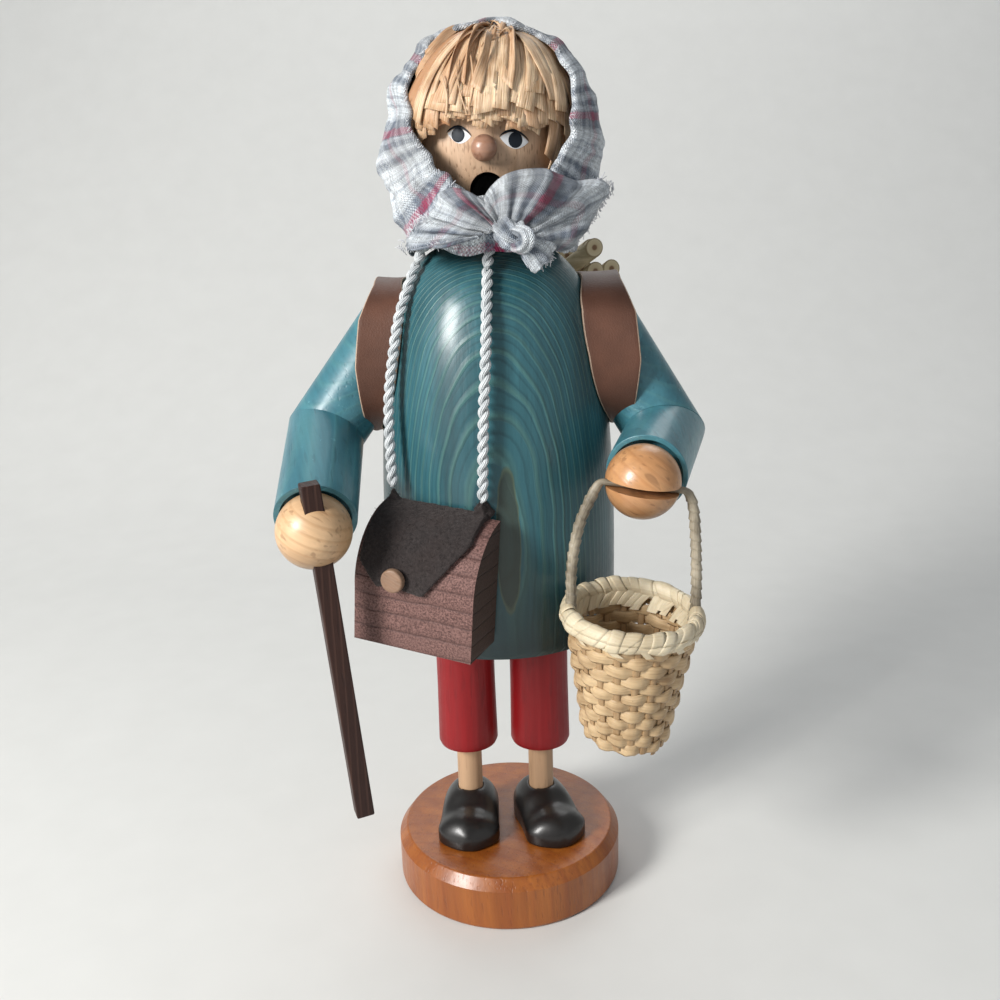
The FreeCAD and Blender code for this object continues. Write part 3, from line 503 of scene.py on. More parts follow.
def fadedOval(material, place, size):
    # the place on the coat's front where the innermost growth ring takes the stain differently
    tree, stained = stainOf(material)
    flat = placed(tree)
    moved = node(tree, "VectorMath", {0: flat, 1: place}, operation="SUBTRACT")
    scaled = node(tree, "VectorMath", {0: moved.outputs[0], 1: size}, operation="DIVIDE")
    reach = node(tree, "VectorMath", {0: scaled.outputs[0]}, operation="LENGTH").outputs["Value"]
    reach = calc(tree, "ADD", reach, calc(tree, "MULTIPLY_ADD", cloudy(tree, flat, 160.0), 0.30, -0.15))
    ring = ramp(tree, reach, [(0.0, 0), (0.86, 0), (0.94, 1), (1.0, 0)])
    base = mixColour(tree, spread(tree, reach, 0.90, 1.0, 0.82, 0.0), stained, (0.030, 0.036, 0.022))
    dress(material, mixColour(tree, times(tree, ring, 0.6), base, (0.095, 0.125, 0.075)))


# painted shade on the lower coat and on the undersides of both hands
paintedShadeBelow(materials["coat"], 74 * mm, 97 * mm, 0.86, (0.010, 0.024, 0.027))
paintedShadeBelow(materials["rightHand"], 104 * mm, 113 * mm, 0.72, (0.080, 0.040, 0.022))
paintedShadeBelow(materials["leftHand"], 95 * mm, 105 * mm, 0.66, (0.085, 0.048, 0.030))
fadedOval(materials["coat"], (0.0022, -0.0275, 0.0985), (0.0028, 0.02, 0.0172))
materials["shoe"] = shoeLacquer()
materials["bag"] = sawnWood()
materials["felt"] = feltCloth()
materials["leather"] = brownLeather()
materials["silver"] = silverYarn()
materials["brass"] = metalSheet("pressedBrass", (0.72, 0.52, 0.22), 0.3)
materials["steel"] = metalSheet("nailSteel", (0.55, 0.55, 0.56), 0.25)
print("stage: wood, leather and cord finishes")


view = {"place": vec(3.7, -241.0, 169.4), "pitch": 0.27742, "yaw": -0.01414, "roll": -0.03194, "lens": 37.05,
        "sensor": 36.0, "pixels": 1000}


# the floor rises behind the part; a lamp has a place, an aim, a size, a power and a colour
studioValues = {"skyLight": (0.80, 0.84, 0.90), "skySeen": (0.74, 0.74, 0.71), "skyStrength": 0.37,
                "floorHalf": 0.9, "floorSquares": 24, "floorFlat": 0.25, "floorBend": 2.2,
                "lamps": {"windowLight": ((-0.53, -0.46, 0.44), (0, 0, 0.12), (0.20, 0.26), 7.7, (1.0, 0.985, 0.96)),
                          "fillLight": ((0.55, -0.60, 0.35), (0, 0, 0.1), (0.9, 0.7), 0.5, (0.96, 0.98, 1.0)),
                          "backLight": ((0.05, 0.6, 0.7), (0, 0, 0.1), (0.8, 0.5), 2.4, (1, 1, 1))}}


def aimCamera():
    ahead = Vector((sin(view["yaw"]) * cos(view["pitch"]), cos(view["yaw"]) * cos(view["pitch"]),
                    -sin(view["pitch"])))
    right = Vector((cos(view["yaw"]), -sin(view["yaw"]), 0))
    upward = right.cross(ahead)
    turnedRight = right * cos(view["roll"]) + upward * sin(view["roll"])
    turnedUp = upward * cos(view["roll"]) - right * sin(view["roll"])
    data = bpy.data.cameras.new("camera")
    data.lens = view["lens"]
    data.sensor_width = view["sensor"]
    data.clip_start = 0.01
    camera = bpy.data.objects.new("camera", data)
    turn = Matrix((turnedRight, turnedUp, -ahead)).transposed().to_4x4()
    camera.matrix_world = Matrix.Translation(view["place"]) @ turn
    bpy.context.scene.collection.objects.link(camera)
    bpy.context.scene.camera = camera


def softLamp(name, place, target, size, power, colour):
    data = bpy.data.lights.new(name, "AREA")
    data.shape = "RECTANGLE"
    data.size, data.size_y = size
    data.energy = power
    data.color = colour
    lamp = bpy.data.objects.new(name, data)
    aim = (Vector(target) - Vector(place)).to_track_quat("-Z", "Y")
    lamp.matrix_world = Matrix.Translation(place) @ aim.to_matrix().to_4x4()
    bpy.context.scene.collection.objects.link(lamp)


def studio():
    world = bpy.data.worlds.new("studio")
    world.use_nodes = True
    tree = world.node_tree
    seen = node(tree, "LightPath")
    share = calc(tree, "MAXIMUM", seen.outputs["Is Camera Ray"], seen.outputs["Is Glossy Ray"])
    background = tree.nodes["Background"]
    sky = mixColour(tree, share, studioValues["skyLight"], studioValues["skySeen"])
    tree.links.new(sky, background.inputs["Color"])
    background.inputs["Strength"].default_value = studioValues["skyStrength"]
    bpy.context.scene.world = world
    for name, settings in studioValues["lamps"].items():
        softLamp(name, *settings)
    bpy.context.scene.view_settings.view_transform = "Standard"
    squares = studioValues["floorSquares"]
    bm = bmesh.new()
    bmesh.ops.create_grid(bm, x_segments=squares, y_segments=squares, size=studioValues["floorHalf"])
    for vert in bm.verts:
        rise = max(0.0, vert.co.y - studioValues["floorFlat"])
        vert.co.z = rise * rise * studioValues["floorBend"]
    mesh = bpy.data.meshes.new("studioFloor")
    bm.to_mesh(mesh)
    bm.free()
    mesh.shade_smooth()
    floor = bpy.data.objects.new("studioFloor", mesh)
    bpy.context.scene.collection.objects.link(floor)
    material, tree = newMaterial("paleFloor")
    grain = cloudy(tree, placed(tree), 60.0, 4.0)
    mesh.materials.append(dress(material, mixColour(tree, grain, (0.66, 0.66, 0.635), (0.71, 0.71, 0.685)), 0.75))


aimCamera()
studio()
print("stage: camera and light")


cordValues = {"radius": 1.28 * mm, "strandShare": 0.485, "offsetShare": 0.50, "pitch": 5.0 * mm, "sides": 10,
              "step": 0.30 * mm, "endShare": 0.35, "endRings": 4}
cordRoutes = {
    "bagCordLeft": [(-16.1, -10.2, 158.0), (-19.9, -14.8, 149.2), (-21.9, -17.3, 138.4), (-23.7, -18.7, 126.0)],
    "bagCordRight": [(-0.5, -19.9, 157.0), (-0.9, -24.5, 149.2), (-1.3, -27.4, 139.4), (-2.3, -29.4, 127.0)],
    "bagCordNeck": [(-16.1, -10.2, 158.0), (-14.9, -8.7, 160.8), (-13.3, -5.8, 163.5), (-11.0, 0.5, 165.2),
                    (-7.1, 8.0, 165.3), (0.1, 10.7, 165.5), (7.3, 7.8, 165.6), (10.7, 0.9, 165.6),
                    (10.2, -4.7, 165.6), (6.8, -9.8, 166.1), (1.9, -14.5, 164.4), (-0.3, -17.7, 160.8),
                    (-0.5, -19.9, 157.0)],
}
cordEnds = {"bagCordLeft": (-22.9, -22.0, 110.8), "bagCordRight": (-3.0, -30.0, 108.9)}


def twistedCord(name, route, body, replaced):
    values = cordValues
    line, length = splineLine([vec(*place) for place in route], values["step"])
    frames = lineFrames(line)
    radius = values["radius"]
    thick, out = radius * values["strandShare"], radius * values["offsetShare"]
    bm = bmesh.new()
    for strand in (0, 1):
        helix = []
        for number, (point, side, other) in enumerate(frames):
            angle = tau * (number / (len(frames) - 1) * length / values["pitch"]) + pi * strand
            helix.append(point + side * (out * cos(angle)) + other * (out * sin(angle)))
        rings = lineFrames(helix)

        def strandPlace(u, v, rings=rings):
            # the strand narrows toward both ends
            point, side, other = frameAt(rings, v)
            ends = min(1.0, values["endShare"] + min(v, 1 - v) * len(rings) / values["endRings"])
            return point + spoke(side, other, tau * u) * thick * ends

        addGrid(bm, values["sides"], len(rings) - 1, strandPlace, (1.0, length))
    piece = finishPiece(name, bm, materials["silver"], body, replaced, merge=0.01 * mm, outward=True)


twistedCord("bagCordNeck", cordRoutes["bagCordNeck"], "figure", ["bag_neck_cord"])
for side, nodeName in (("Left", "bag_cord_left"), ("Right", "bag_cord_right")):
    twistedCord("bagCord" + side, cordRoutes["bagCord" + side] + [cordEnds["bagCord" + side]], "bag", [nodeName])
print("stage: bag cord")


def polished(nodeName, name, material, body, bevel=0.0):
    # the solid's own mesh with its doubles merged, smooth faces and softened edges
    bm = bmesh.new()
    bm.from_mesh(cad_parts[nodeName].data)
    bmesh.ops.remove_doubles(bm, verts=bm.verts, dist=weldGap)
    if bevel:
        bmesh.ops.dissolve_limit(bm, angle_limit=radians(1.0), verts=bm.verts, edges=bm.edges)
    piece = finishPiece(name, bm, material, body, [nodeName], sharpAngle=sharpEdge)
    if bevel:
        modified(piece, "BEVEL", width=bevel, segments=2, limit_method="ANGLE",
                 angle_limit=radians(sharpEdge + 10), harden_normals=True)
    return piece


# finish, body, slot and nodes
woodPieces = [
    ("base", "stand", "lacquered_beech", ["base_disc"]),
    ("shoe", "stand", "black_lacquer", ["left_shoe", "right_shoe"]),
    ("beech", "stand", "plain_beech", ["left_ankle_dowel", "right_ankle_dowel"]),
    ("red", "stand", "red_stain", ["left_trouser_leg", "right_trouser_leg"]),
    ("beech", "stand", "plain_beech", ["hem_plate"]),
    ("brass", "stand", "brass", ["incense_tray"]),
    ("steel", "stand", "steel", ["tray_nail"]),
    ("coat", "figure", "teal_stain", ["coat_body"]),
    ("sleeve", "figure", "teal_stain", ["left_upper_arm", "right_upper_arm", "left_forearm", "right_forearm"]),
    ("beech", "figure", "plain_beech", ["shoulder_dowels", "elbow_dowels", "wrist_dowels"]),
    ("leftHand", "figure", "hand_beech", ["left_hand"]),
    ("rightHand", "figure", "hand_beech", ["right_hand"]),
    ("stick", "stick", "dark_stain", ["walking_stick"]),
    ("face", "figure", "face_beech", ["head"]),
    ("nose", "figure", "face_beech", ["nose"]),
    ("bag", "bag", "mauve_stain", ["bag_block"]),
    ("button", "bag", "button_beech", ["bag_button"]),
    ("board", "figure", "plain_beech", ["carrying_board"]),
]
ownNames = {"left_ankle_dowel": "leftAnkle", "right_ankle_dowel": "rightAnkle", "head": "headBall", "nose": "nosePeg"}
bevels = {"base_disc": 0.5 * mm, "walking_stick": 0.35 * mm, "bag_block": 0.35 * mm, "bag_button": 0.5 * mm,
          "carrying_board": 0.5 * mm, "left_hand": 0.15 * mm, "right_hand": 0.15 * mm, "hem_plate": 0.3 * mm,
          "left_forearm": 0.25 * mm, "right_forearm": 0.25 * mm}
wood = {}
for finish, body, slotName, nodeNames in woodPieces:
    for nodeName in nodeNames:
        first, *others = nodeName.split("_")
        name = ownNames.get(nodeName, first + "".join(word.title() for word in others))
        wood[nodeName] = polished(nodeName, name, materials[finish], body, bevels.get(nodeName, 0.0))

shoeValues = {"longestEdge": 0.9 * mm, "cuts": 4, "toeShare": 0.85, "toeRound": 0.94, "bulge": 0.07,
              "voxel": 0.32 * mm, "sanding": 0.6, "passes": 14}


def roundToe(shoe, ankle):
    # turns the square front of a clog into a half round toe
    bm = bmesh.new()
    bm.from_mesh(shoe.data)
    for _ in range(shoeValues["cuts"]):
        longEdges = [e for e in bm.edges if e.calc_length() > shoeValues["longestEdge"]]
        bmesh.ops.subdivide_edges(bm, edges=longEdges, cuts=1)
        bmesh.ops.triangulate(bm, faces=bm.faces[:])
    middle = sum((v.co for v in bm.verts), Vector()) / len(bm.verts)
    heel = sum((v.co for v in ankle.data.vertices), Vector()) / len(ankle.data.vertices)
    forward = Vector((middle.x - heel.x, middle.y - heel.y, 0)).normalized()
    aside = Vector((-forward.y, forward.x, 0))
    reach = max((v.co - middle).dot(forward) for v in bm.verts)
    half = max(abs((v.co - middle).dot(aside)) for v in bm.verts)
    start = reach - shoeValues["toeShare"] * half
    for vert in bm.verts:
        along, across = (vert.co - middle).dot(forward), (vert.co - middle).dot(aside)
        share = max(0.0, (along - start) / (reach - start)) * shoeValues["toeRound"]
        bulge = shoeValues["bulge"] * exp(-((along - start) / half) ** 2)
        width = sqrt(1 - share * share) * (1 + bulge)
        vert.co += aside * across * (width - 1)
    bm.to_mesh(shoe.data)
    bm.free()


for nodeName in ("left_shoe", "right_shoe"):
    # the clogs are sanded round all over
    roundToe(wood[nodeName], wood[nodeName.replace("shoe", "ankle_dowel")])
    modified(wood[nodeName], "REMESH", mode="VOXEL", voxel_size=shoeValues["voxel"], use_smooth_shade=True)
    modified(wood[nodeName], "SMOOTH", factor=shoeValues["sanding"], iterations=shoeValues["passes"])
# the two sides of the bag's block show end grain, made darker with painted shade
blockData = wood["bag_block"].data
# this mask marks the faces that carry the end grain and its painted shade
endGrainShade = blockData.attributes.new("endGrainShade", "FLOAT", "FACE")
blockSide = Vector((cos(bagTurn), -sin(bagTurn), 0))
for polygon in blockData.polygons:
    endGrainShade.data[polygon.index].value = 1.0 if abs(polygon.normal.dot(blockSide)) > 0.85 else 0.0
print("stage: wooden pieces")


strapValues = {"thickness": 1.2 * mm, "clear": 0.35 * mm, "leastInner": 19.0 * mm, "leastWide": 2.5 * mm,
               "step": 0.7 * mm, "across": 10, "edge": 0.28 * mm, "middle": Vector((0, 1.5 * mm, 136 * mm)),
               "side": [(31.5, 144.0), (20.0, 149.6), (8.0, 153.9), (-3.0, 154.0), (-11.6, 149.4), (-14.0, 140.5),
                        (-14.0, 132.0), (-11.2, 124.6), (-3.5, 119.9), (8.0, 118.6), (20.0, 117.4), (31.5, 116.2)],
               "leftOuter": [(116.0, 27.6), (124.0, 29.8), (136.0, 30.6), (146.0, 29.4), (152.7, 26.6)],
               "rightOuter": [(116.0, 28.8), (124.0, 31.4), (136.0, 32.6), (146.0, 31.6), (152.7, 29.0)]}
# the coat's radius (mm) at a height (mm)
coatProfile = [(116.0, 27.3), (124.98, 26.4), (136.98, 25.0), (147.0, 22.8), (153.46, 20.1), (157.9, 16.5),
               (161.4, 11.0)]


def rawEdgeLeather():
    material, tree = newMaterial("rawLeatherEdge")
    speck = cloudy(tree, placed(tree), 1800.0, 3.0)
    return dress(material, mixColour(tree, speck, (0.30, 0.19, 0.13), (0.58, 0.45, 0.34)), 0.85, speck, 0.1 * mm)


materials["rawEdge"] = rawEdgeLeather()


def leatherStrap(name, side, outer, replaced):
    # side is -1 for the left and 1 for the right of the picture
    values = strapValues
    path, length = splineLine([vec(0, y, z) for y, z in values["side"]], values["step"])

    def strapPlace(u, v):
        point = frameAt(path, v)
        wide = table(outer, point.z / mm) * mm
        coat = table(coatProfile, point.z / mm) * mm + values["clear"]
        inner = sqrt(max(coat * coat - point.y * point.y, values["leastInner"] ** 2))
        inner = min(inner, wide - values["leastWide"])
        x = mixed(inner, wide, u)
        curl = (0.55 + 0.75 * u * u + 0.35 * (1 - u) ** 3) * mm
        curl += 0.12 * mm * wobble((x, point.y, point.z), 6 * mm, side)
        out = (point - values["middle"]).normalized()
        return Vector((side * x, point.y, point.z)) + out * curl * 0.6

    bm = bmesh.new()
    addGrid(bm, values["across"], len(path) - 1, strapPlace, (8 * mm, length))
    if side > 0:
        bmesh.ops.reverse_faces(bm, faces=bm.faces)
    piece = finishPiece(name, bm, materials["leather"], "figure", replaced)
    piece.data.materials.append(materials["rawEdge"])
    modified(piece, "SOLIDIFY", thickness=values["thickness"], offset=-1.0, material_offset_rim=1)
    modified(piece, "BEVEL", width=values["edge"], segments=2, material=1, limit_method="ANGLE",
             angle_limit=radians(50))


leatherStrap("leftStrap", -1, strapValues["leftOuter"], ["left_strap"])
leatherStrap("rightStrap", 1, strapValues["rightOuter"], ["right_strap"])
print("stage: straps")


# the left edge runs inward to the button, and the right ear is folded over the block's corner
flapValues = {"corner": vec(-31.0, -31.0, 100.3), "low": vec(-24.0, -33.5, 90.5),
              "ear": [(-4.9, -29.3, 107.5), (-3.2, -28.6, 109.1), (-0.5, -29.0, 106.0), (-2.4, -30.4, 104.4)],
              "earFront": 0.8, "earBehind": 1.2, "voxel": 0.28 * mm, "passes": 3, "lumpSize": 1.6 * mm,
              "lumps": 0.25 * mm, "fibres": 2200, "fibreLength": 0.9 * mm, "fibreWidth": 0.035 * mm}


def feltFlap():
    values = flapValues
    bm = bmesh.new()
    bm.from_mesh(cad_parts["bag_flap"].data)
    bmesh.ops.remove_doubles(bm, verts=bm.verts, dist=weldGap)
    outward = vec(-sin(bagTurn), -cos(bagTurn), 0)
    cutPlane = (values["low"] - values["corner"]).cross(outward).normalized()
    if cutPlane.x > 0:
        cutPlane.negate()
    bmesh.ops.bisect_plane(bm, geom=bm.verts[:] + bm.edges[:] + bm.faces[:], plane_co=values["corner"],
                           plane_no=cutPlane, clear_outer=True)
    bmesh.ops.holes_fill(bm, edges=[e for e in bm.edges if e.is_boundary])
    ear = []
    for place in values["ear"]:
        ear.append(bm.verts.new(vec(*place) + outward * values["earFront"]))
        ear.append(bm.verts.new(vec(*place) - outward * values["earBehind"]))
    bmesh.ops.convex_hull(bm, input=ear)
    bmesh.ops.triangulate(bm, faces=bm.faces[:])
    piece = finishPiece("bagFlap", bm, materials["felt"], "bag", ["bag_flap"], outward=True)
    modified(piece, "REMESH", mode="VOXEL", voxel_size=values["voxel"], use_smooth_shade=True)
    modified(piece, "SMOOTH", iterations=values["passes"])
    texture = bpy.data.textures.new("feltLumps", "CLOUDS")
    texture.noise_scale = values["lumpSize"]
    modified(piece, "DISPLACE", texture=texture, strength=values["lumps"], mid_level=0.55)
    return piece


def addFibre(bm, spine, sides):
    # a flat fibre along its spine, with the half width to each side
    rows = [[bm.verts.new(p - side), bm.verts.new(p + side)] for p, side in zip(spine, sides)]
    for (a, b), (c, d) in zip(rows, rows[1:]):
        bm.faces.new((a, b, d, c))


def fuzz(name, source, material, body, count, length, seed, width):
    # short loose fibres that stand off a piece's surface
    random.seed(seed)
    data = source.data
    polygons = [p for p in data.polygons if p.area > 0]
    bm = bmesh.new()
    for polygon in random.choices(polygons, [p.area for p in polygons], k=count):
        corners = [data.vertices[v].co for v in polygon.vertices]
        a, b = sorted((random.random(), random.random()))
        root = corners[0] * a + corners[1] * (b - a) + corners[2] * (1 - b)
        out = (polygon.normal + Vector([uniform(-1, 1) for _ in range(3)]) * 0.9).normalized()
        side = out.orthogonal().normalized()
        tall = length * uniform(0.4, 1.0)
        bend = Vector([uniform(-1, 1) for _ in range(3)]) * tall * 0.5
        spine = [root - out * 0.05 * mm, root + out * tall * 0.5 + bend * 0.3, root + out * tall + bend]
        addFibre(bm, spine, [side * width, side * (width * 0.8), side * (width * 0.3)])
    return finishPiece(name, bm, material, body)


bagFlap = feltFlap()
fuzz("flapFuzz", bagFlap, materials["felt"], "bag", flapValues["fibres"], flapValues["fibreLength"], 5,
     flapValues["fibreWidth"])
print("stage: felt flap")


basketValues = {"rimCentre": vec(28.4, -34.4, 84.3), "lean": radians(3.8), "nod": radians(4.7),
                "rimRadius": 13.9 * mm, "rimThick": 2.0 * mm, "footRadius": 9.1 * mm, "height": 28.8 * mm,
                "stakes": 20, "rows": 12, "caneHigh": 3.0 * mm, "caneThick": 0.55 * mm, "sway": 0.50 * mm,
                "wraps": 42, "slot": vec(30.8, -33.7, 112.5), "slotTilt": radians(8.0), "drift": 0.9 * mm,
                "wallOut": 0.10 * mm, "firstRow": 2.6 * mm, "lastGap": 0.8 * mm, "stepsPerStake": 7,
                "stakeWide": 1.5 * mm, "stakeThick": 0.5 * mm, "longStake": 17, "bottomUp": 0.9 * mm,
                "bottomThick": 0.6 * mm, "bottomShares": (0.22, 0.44, 0.66, 0.88), "bottomSway": 0.45 * mm,
                "strips": 72, "stripThick": 0.22 * mm, "wrapThick": 0.12 * mm, "handleRadius": 0.98 * mm,
                "gripRadius": 0.74 * mm, "gripHalf": 7.4 * mm, "gripEnd": 9.3 * mm, "windPitch": 2.1 * mm,
                "windRidge": 0.32 * mm, "whiskers": 44, "whiskerLength": 1.7 * mm, "whiskerWidth": 0.03 * mm,
                "caneSides": 8, "bottomSides": 6, "rimGrid": (14, 90), "wrapGrid": (18, 5), "handleSides": 16,
                "handleStep": 0.28 * mm, "reachShort": 0.2 * mm, "longBy": 1.6 * mm}


def basketAxes():
    lean, nod = basketValues["lean"], basketValues["nod"]
    side = Vector((cos(lean), 0, -sin(lean)))
    rise = Vector((sin(lean), 0, cos(lean))) * cos(nod) - Vector((0, 1, 0)) * sin(nod)
    return side, rise, rise.cross(side)


def basketSpoke(angle):
    side, rise, back = basketAxes()
    return spoke(side, back, angle)


def basketPoint(radius, angle, down):
    # the place at a radius and an angle, a way down from the rim; the foot drifts sideways
    side, rise, back = basketAxes()
    drift = basketValues["drift"] * max(0.0, down / basketValues["height"]) ** 1.5
    return basketValues["rimCentre"] + spoke(side, back, angle) * radius - rise * down + side * drift


def wallRadius(down):
    share = down / basketValues["height"]
    return mixed(basketValues["rimRadius"], basketValues["footRadius"], share) + basketValues["wallOut"]


def caneMaterial(name, dark, light, scale=1.0):
    # split cane: long fibres along the strip, a few dark nicks and a waxy face
    material, tree = newMaterial(name)
    fibre = cloudy(tree, placed(tree, scale=(1.0, 0.05, 1.0), source="UV"), 2600.0 * scale, 3.0, 0.65)
    place = placed(tree)
    worn = use(tree, wornPlaces, {"Place": place, "Scale": 700.0, "Limit": 0.66})
    tone = calc(tree, "MULTIPLY_ADD", cloudy(tree, place, 160.0, 3.0), 0.6, times(tree, fibre, 0.5))
    base = mixColour(tree, spread(tree, tone, 0.35, 0.75), dark, light)
    base = mixColour(tree, times(tree, worn["Mask"], 0.55), base, tuple(c * 0.45 for c in dark))
    return dress(material, base, spread(tree, fibre, 0.3, 0.7, 0.40, 0.60), fibre, 0.08 * mm,
                 {"Subsurface Weight": 0.06, "Subsurface Radius": (0.001, 0.0006, 0.0003)})


materials["cane"] = caneMaterial("paleCane", (0.27, 0.16, 0.072), (0.70, 0.515, 0.30))
materials["stake"] = caneMaterial("caneStake", (0.28, 0.165, 0.075), (0.45, 0.30, 0.16))
materials["raffia"] = caneMaterial("creamRaffia", (0.48, 0.38, 0.24), (0.76, 0.67, 0.49), 1.4)
materials["handle"] = caneMaterial("handleRaffia", (0.085, 0.066, 0.042), (0.46, 0.40, 0.30), 1.4)


def addBand(bm, line, wide, thick, sides, length, closed=True, rough=0.0, seed=0.0):
    # a strip with a rounded flat section, laid along a line of points
    steps = len(line) if closed else len(line) - 1

    def bandPlace(u, v):
        point, side, other = line[round(v * steps) % len(line)]
        angle = tau * u
        fray = 1 + rough * wobble(point, 1.5 * mm, seed)
        return point + side * (cos(angle) * wide / 2 * fray) + other * (sin(angle) * thick / 2)

    addGrid(bm, sides, steps, bandPlace, (wide * 2, length))


def basketWall():
    # each row passes in front of one stake and behind the next
    values = basketValues
    rise = basketAxes()[1]
    bm = bmesh.new()
    pitch = (values["height"] - values["firstRow"] - values["lastGap"]) / (values["rows"] - 1)
    steps = values["stakes"] * values["stepsPerStake"]
    random.seed(21)
    for row in range(values["rows"]):
        down = values["firstRow"] + row * pitch
        lift = uniform(0, 6)
        line = []
        for number in range(steps):
            angle = tau * number / steps
            swing = cos(angle * values["stakes"] / 2 + pi * row)
            swing = copysign(abs(swing) ** 0.8, swing)
            level = down + 0.16 * mm * sin(angle * 3 + lift) + 0.10 * mm * sin(angle * values["stakes"] / 2)
            radius = wallRadius(down) + values["sway"] * swing + 0.12 * mm * sin(angle * 5 + lift * 2)
            line.append((basketPoint(radius, angle, level), rise, basketSpoke(angle)))
        high = values["caneHigh"] * uniform(0.88, 1.06)
        addBand(bm, line, high, values["caneThick"], values["caneSides"], tau * wallRadius(down), rough=0.22,
                seed=row)
    return finishPiece("basketWeave", bm, materials["cane"], "basket", ["basket_wall"], merge=0.005 * mm,
                       outward=True)


def basketStakes():
    values = basketValues
    rise = basketAxes()[1]
    height, count = values["height"], values["stakes"]
    bm = bmesh.new()
    random.seed(4)
    for number in range(count):
        radial = basketSpoke(tau * number / count)
        low = height + uniform(-0.2, 0.9) * mm
        if number == values["longStake"]:
            low = height + values["longBy"]
        line = [(basketPoint(wallRadius(down), tau * number / count, down), rise.cross(radial), radial)
                for down in (low * k / 12 for k in range(13))]
        addBand(bm, line, values["stakeWide"], values["stakeThick"], values["caneSides"], height, closed=False)
    # the bottom: the stakes run to the middle under four rounds of cane
    level = height - values["bottomUp"]
    reach = wallRadius(height) - values["reachShort"]
    for number in range(count):
        angle = tau * number / count
        line = [(basketPoint(reach * k / 6, angle, level), rise.cross(basketSpoke(angle)), rise) for k in range(7)]
        addBand(bm, line, values["stakeWide"], values["bottomThick"], values["bottomSides"], reach, closed=False)
    for ring, share in enumerate(values["bottomShares"]):
        reach = wallRadius(height) * share
        line = []
        for number in range(count * 3):
            angle = tau * number / (count * 3)
            swing = values["bottomSway"] * cos(angle * count / 2 + pi * ring)
            line.append((basketPoint(reach, angle, level + swing), basketSpoke(angle), rise))
        addBand(bm, line, values["stakeWide"], values["bottomThick"], values["bottomSides"], reach * 6)
    finishPiece("basketStakes", bm, materials["stake"], "basket", ["basket_bottom"], merge=0.002 * mm,
                outward=True)


def basketRim():
    values = basketValues
    rise = basketAxes()[1]
    bm = bmesh.new()
    random.seed(9)

    def rimPlace(u, angle, radius):
        around = tau * u
        radial = basketSpoke(angle)
        centre = values["rimCentre"] + radial * values["rimRadius"]
        sag = 1 + 0.17 * wobble((cos(angle) * 9 * mm, sin(angle) * 9 * mm, around * mm), 2.1 * mm, 3.0)
        lean = rise * 1.16 - radial * 0.10
        return centre + (radial * cos(around) * 0.80 + lean * sin(around)) * radius * sag

    addGrid(bm, *values["rimGrid"], lambda u, v: rimPlace(u, tau * v, values["rimThick"] * 0.86), (0.01, 0.087))
    for number in range(values["wraps"]):
        centreAngle = tau * (number + uniform(-0.2, 0.2)) / values["wraps"]
        width = tau / values["wraps"] * uniform(1.1, 1.8)
        slant = uniform(0.03, 0.17)
        radius = values["rimThick"] * uniform(0.93, 1.10)

        def wrapPlace(u, v):
            crown = 1 - 0.05 * (2 * v - 1) ** 2
            angle = centreAngle + (v - 0.5) * width + slant * sin(tau * u)
            return rimPlace(u, angle, radius * crown)

        addGrid(bm, *values["wrapGrid"], wrapPlace, (0.011, 0.0028))
    piece = finishPiece("basketRim", bm, materials["raffia"], "basket", ["basket_rim"], merge=0.003 * mm,
                        outward=True)
    modified(piece, "SOLIDIFY", thickness=values["wrapThick"], offset=-1)


def basketHandle():
    # a loop wound with raffia; its grip lies bare in the saw cut of the hand
    values = basketValues
    side = basketAxes()[0]
    rim, slot = values["rimCentre"], values["slot"]
    toSlot = slot - rim
    along = Vector((cos(values["slotTilt"]), 0, -sin(values["slotTilt"])))
    left = [(0.93, -0.10), (0.95, 0.07), (1.00, 0.36), (0.93, 0.70), (0.76, 0.92)]
    right = [(0.95, -0.10), (0.98, 0.07), (0.93, 0.36), (0.84, 0.70), (0.77, 0.88)]
    route = [rim - side * (out * values["rimRadius"]) + toSlot * high for out, high in left]
    route += [slot - along * values["gripEnd"], slot - along * values["gripHalf"], slot,
              slot + along * values["gripHalf"], slot + along * values["gripEnd"]]
    route += [rim + side * (out * values["rimRadius"]) + toSlot * high for out, high in reversed(right)]
    line, length = splineLine(route, values["handleStep"])
    frames = lineFrames(line)
    bm = bmesh.new()

    def handlePlace(u, v):
        point, a, b = frameAt(frames, v)
        fromSlot = (point - slot).length
        radius = mixed(values["gripRadius"], values["handleRadius"], smoothStep(8.4 * mm, 9.9 * mm, fromSlot))
        turn = (v * length / values["windPitch"] + u) % 1.0
        ridge = values["windRidge"] * turn * smoothStep(9.2 * mm, 11.0 * mm, fromSlot)
        flatness = 1 + 0.08 * wobble(point, 3 * mm, 2.0)
        return point + spoke(a, b, tau * u) * (radius * flatness + ridge)

    addGrid(bm, values["handleSides"], len(frames) - 1, handlePlace, (0.008, length))
    finishPiece("basketHandle", bm, materials["handle"], "basket", ["basket_handle"], merge=0.003 * mm,
                outward=True)


def rimStrips():
    # slanted raffia strips that tie the rim down on the inside and the outside
    rise = basketAxes()[1]
    count = basketValues["strips"]
    bm = bmesh.new()
    random.seed(12)
    for number in range(count):
        start = tau * (number + uniform(-0.3, 0.3)) / count
        way = uniform(0.10, 0.26)
        inside = number % 6 != 0
        deep = uniform(3.4, 5.2) * mm if inside else uniform(2.6, 3.6) * mm
        gap = (-1.22 - 0.14 * (number % 2) if inside else 1.15) * mm
        line = []
        for k in range(9):
            angle, down = start + way * k / 8, mixed(0.4 * mm, deep, k / 8)
            radial = basketSpoke(angle)
            along = rise.cross(radial) * (-1 if inside else 1)
            line.append((basketPoint(wallRadius(down) + gap, angle, down), along, radial))
        addBand(bm, line, uniform(1.6, 2.6) * mm, basketValues["stripThick"], basketValues["caneSides"], deep,
                closed=False, rough=0.15, seed=number)
    finishPiece("rimStrips", bm, materials["raffia"], "basket", outward=True)


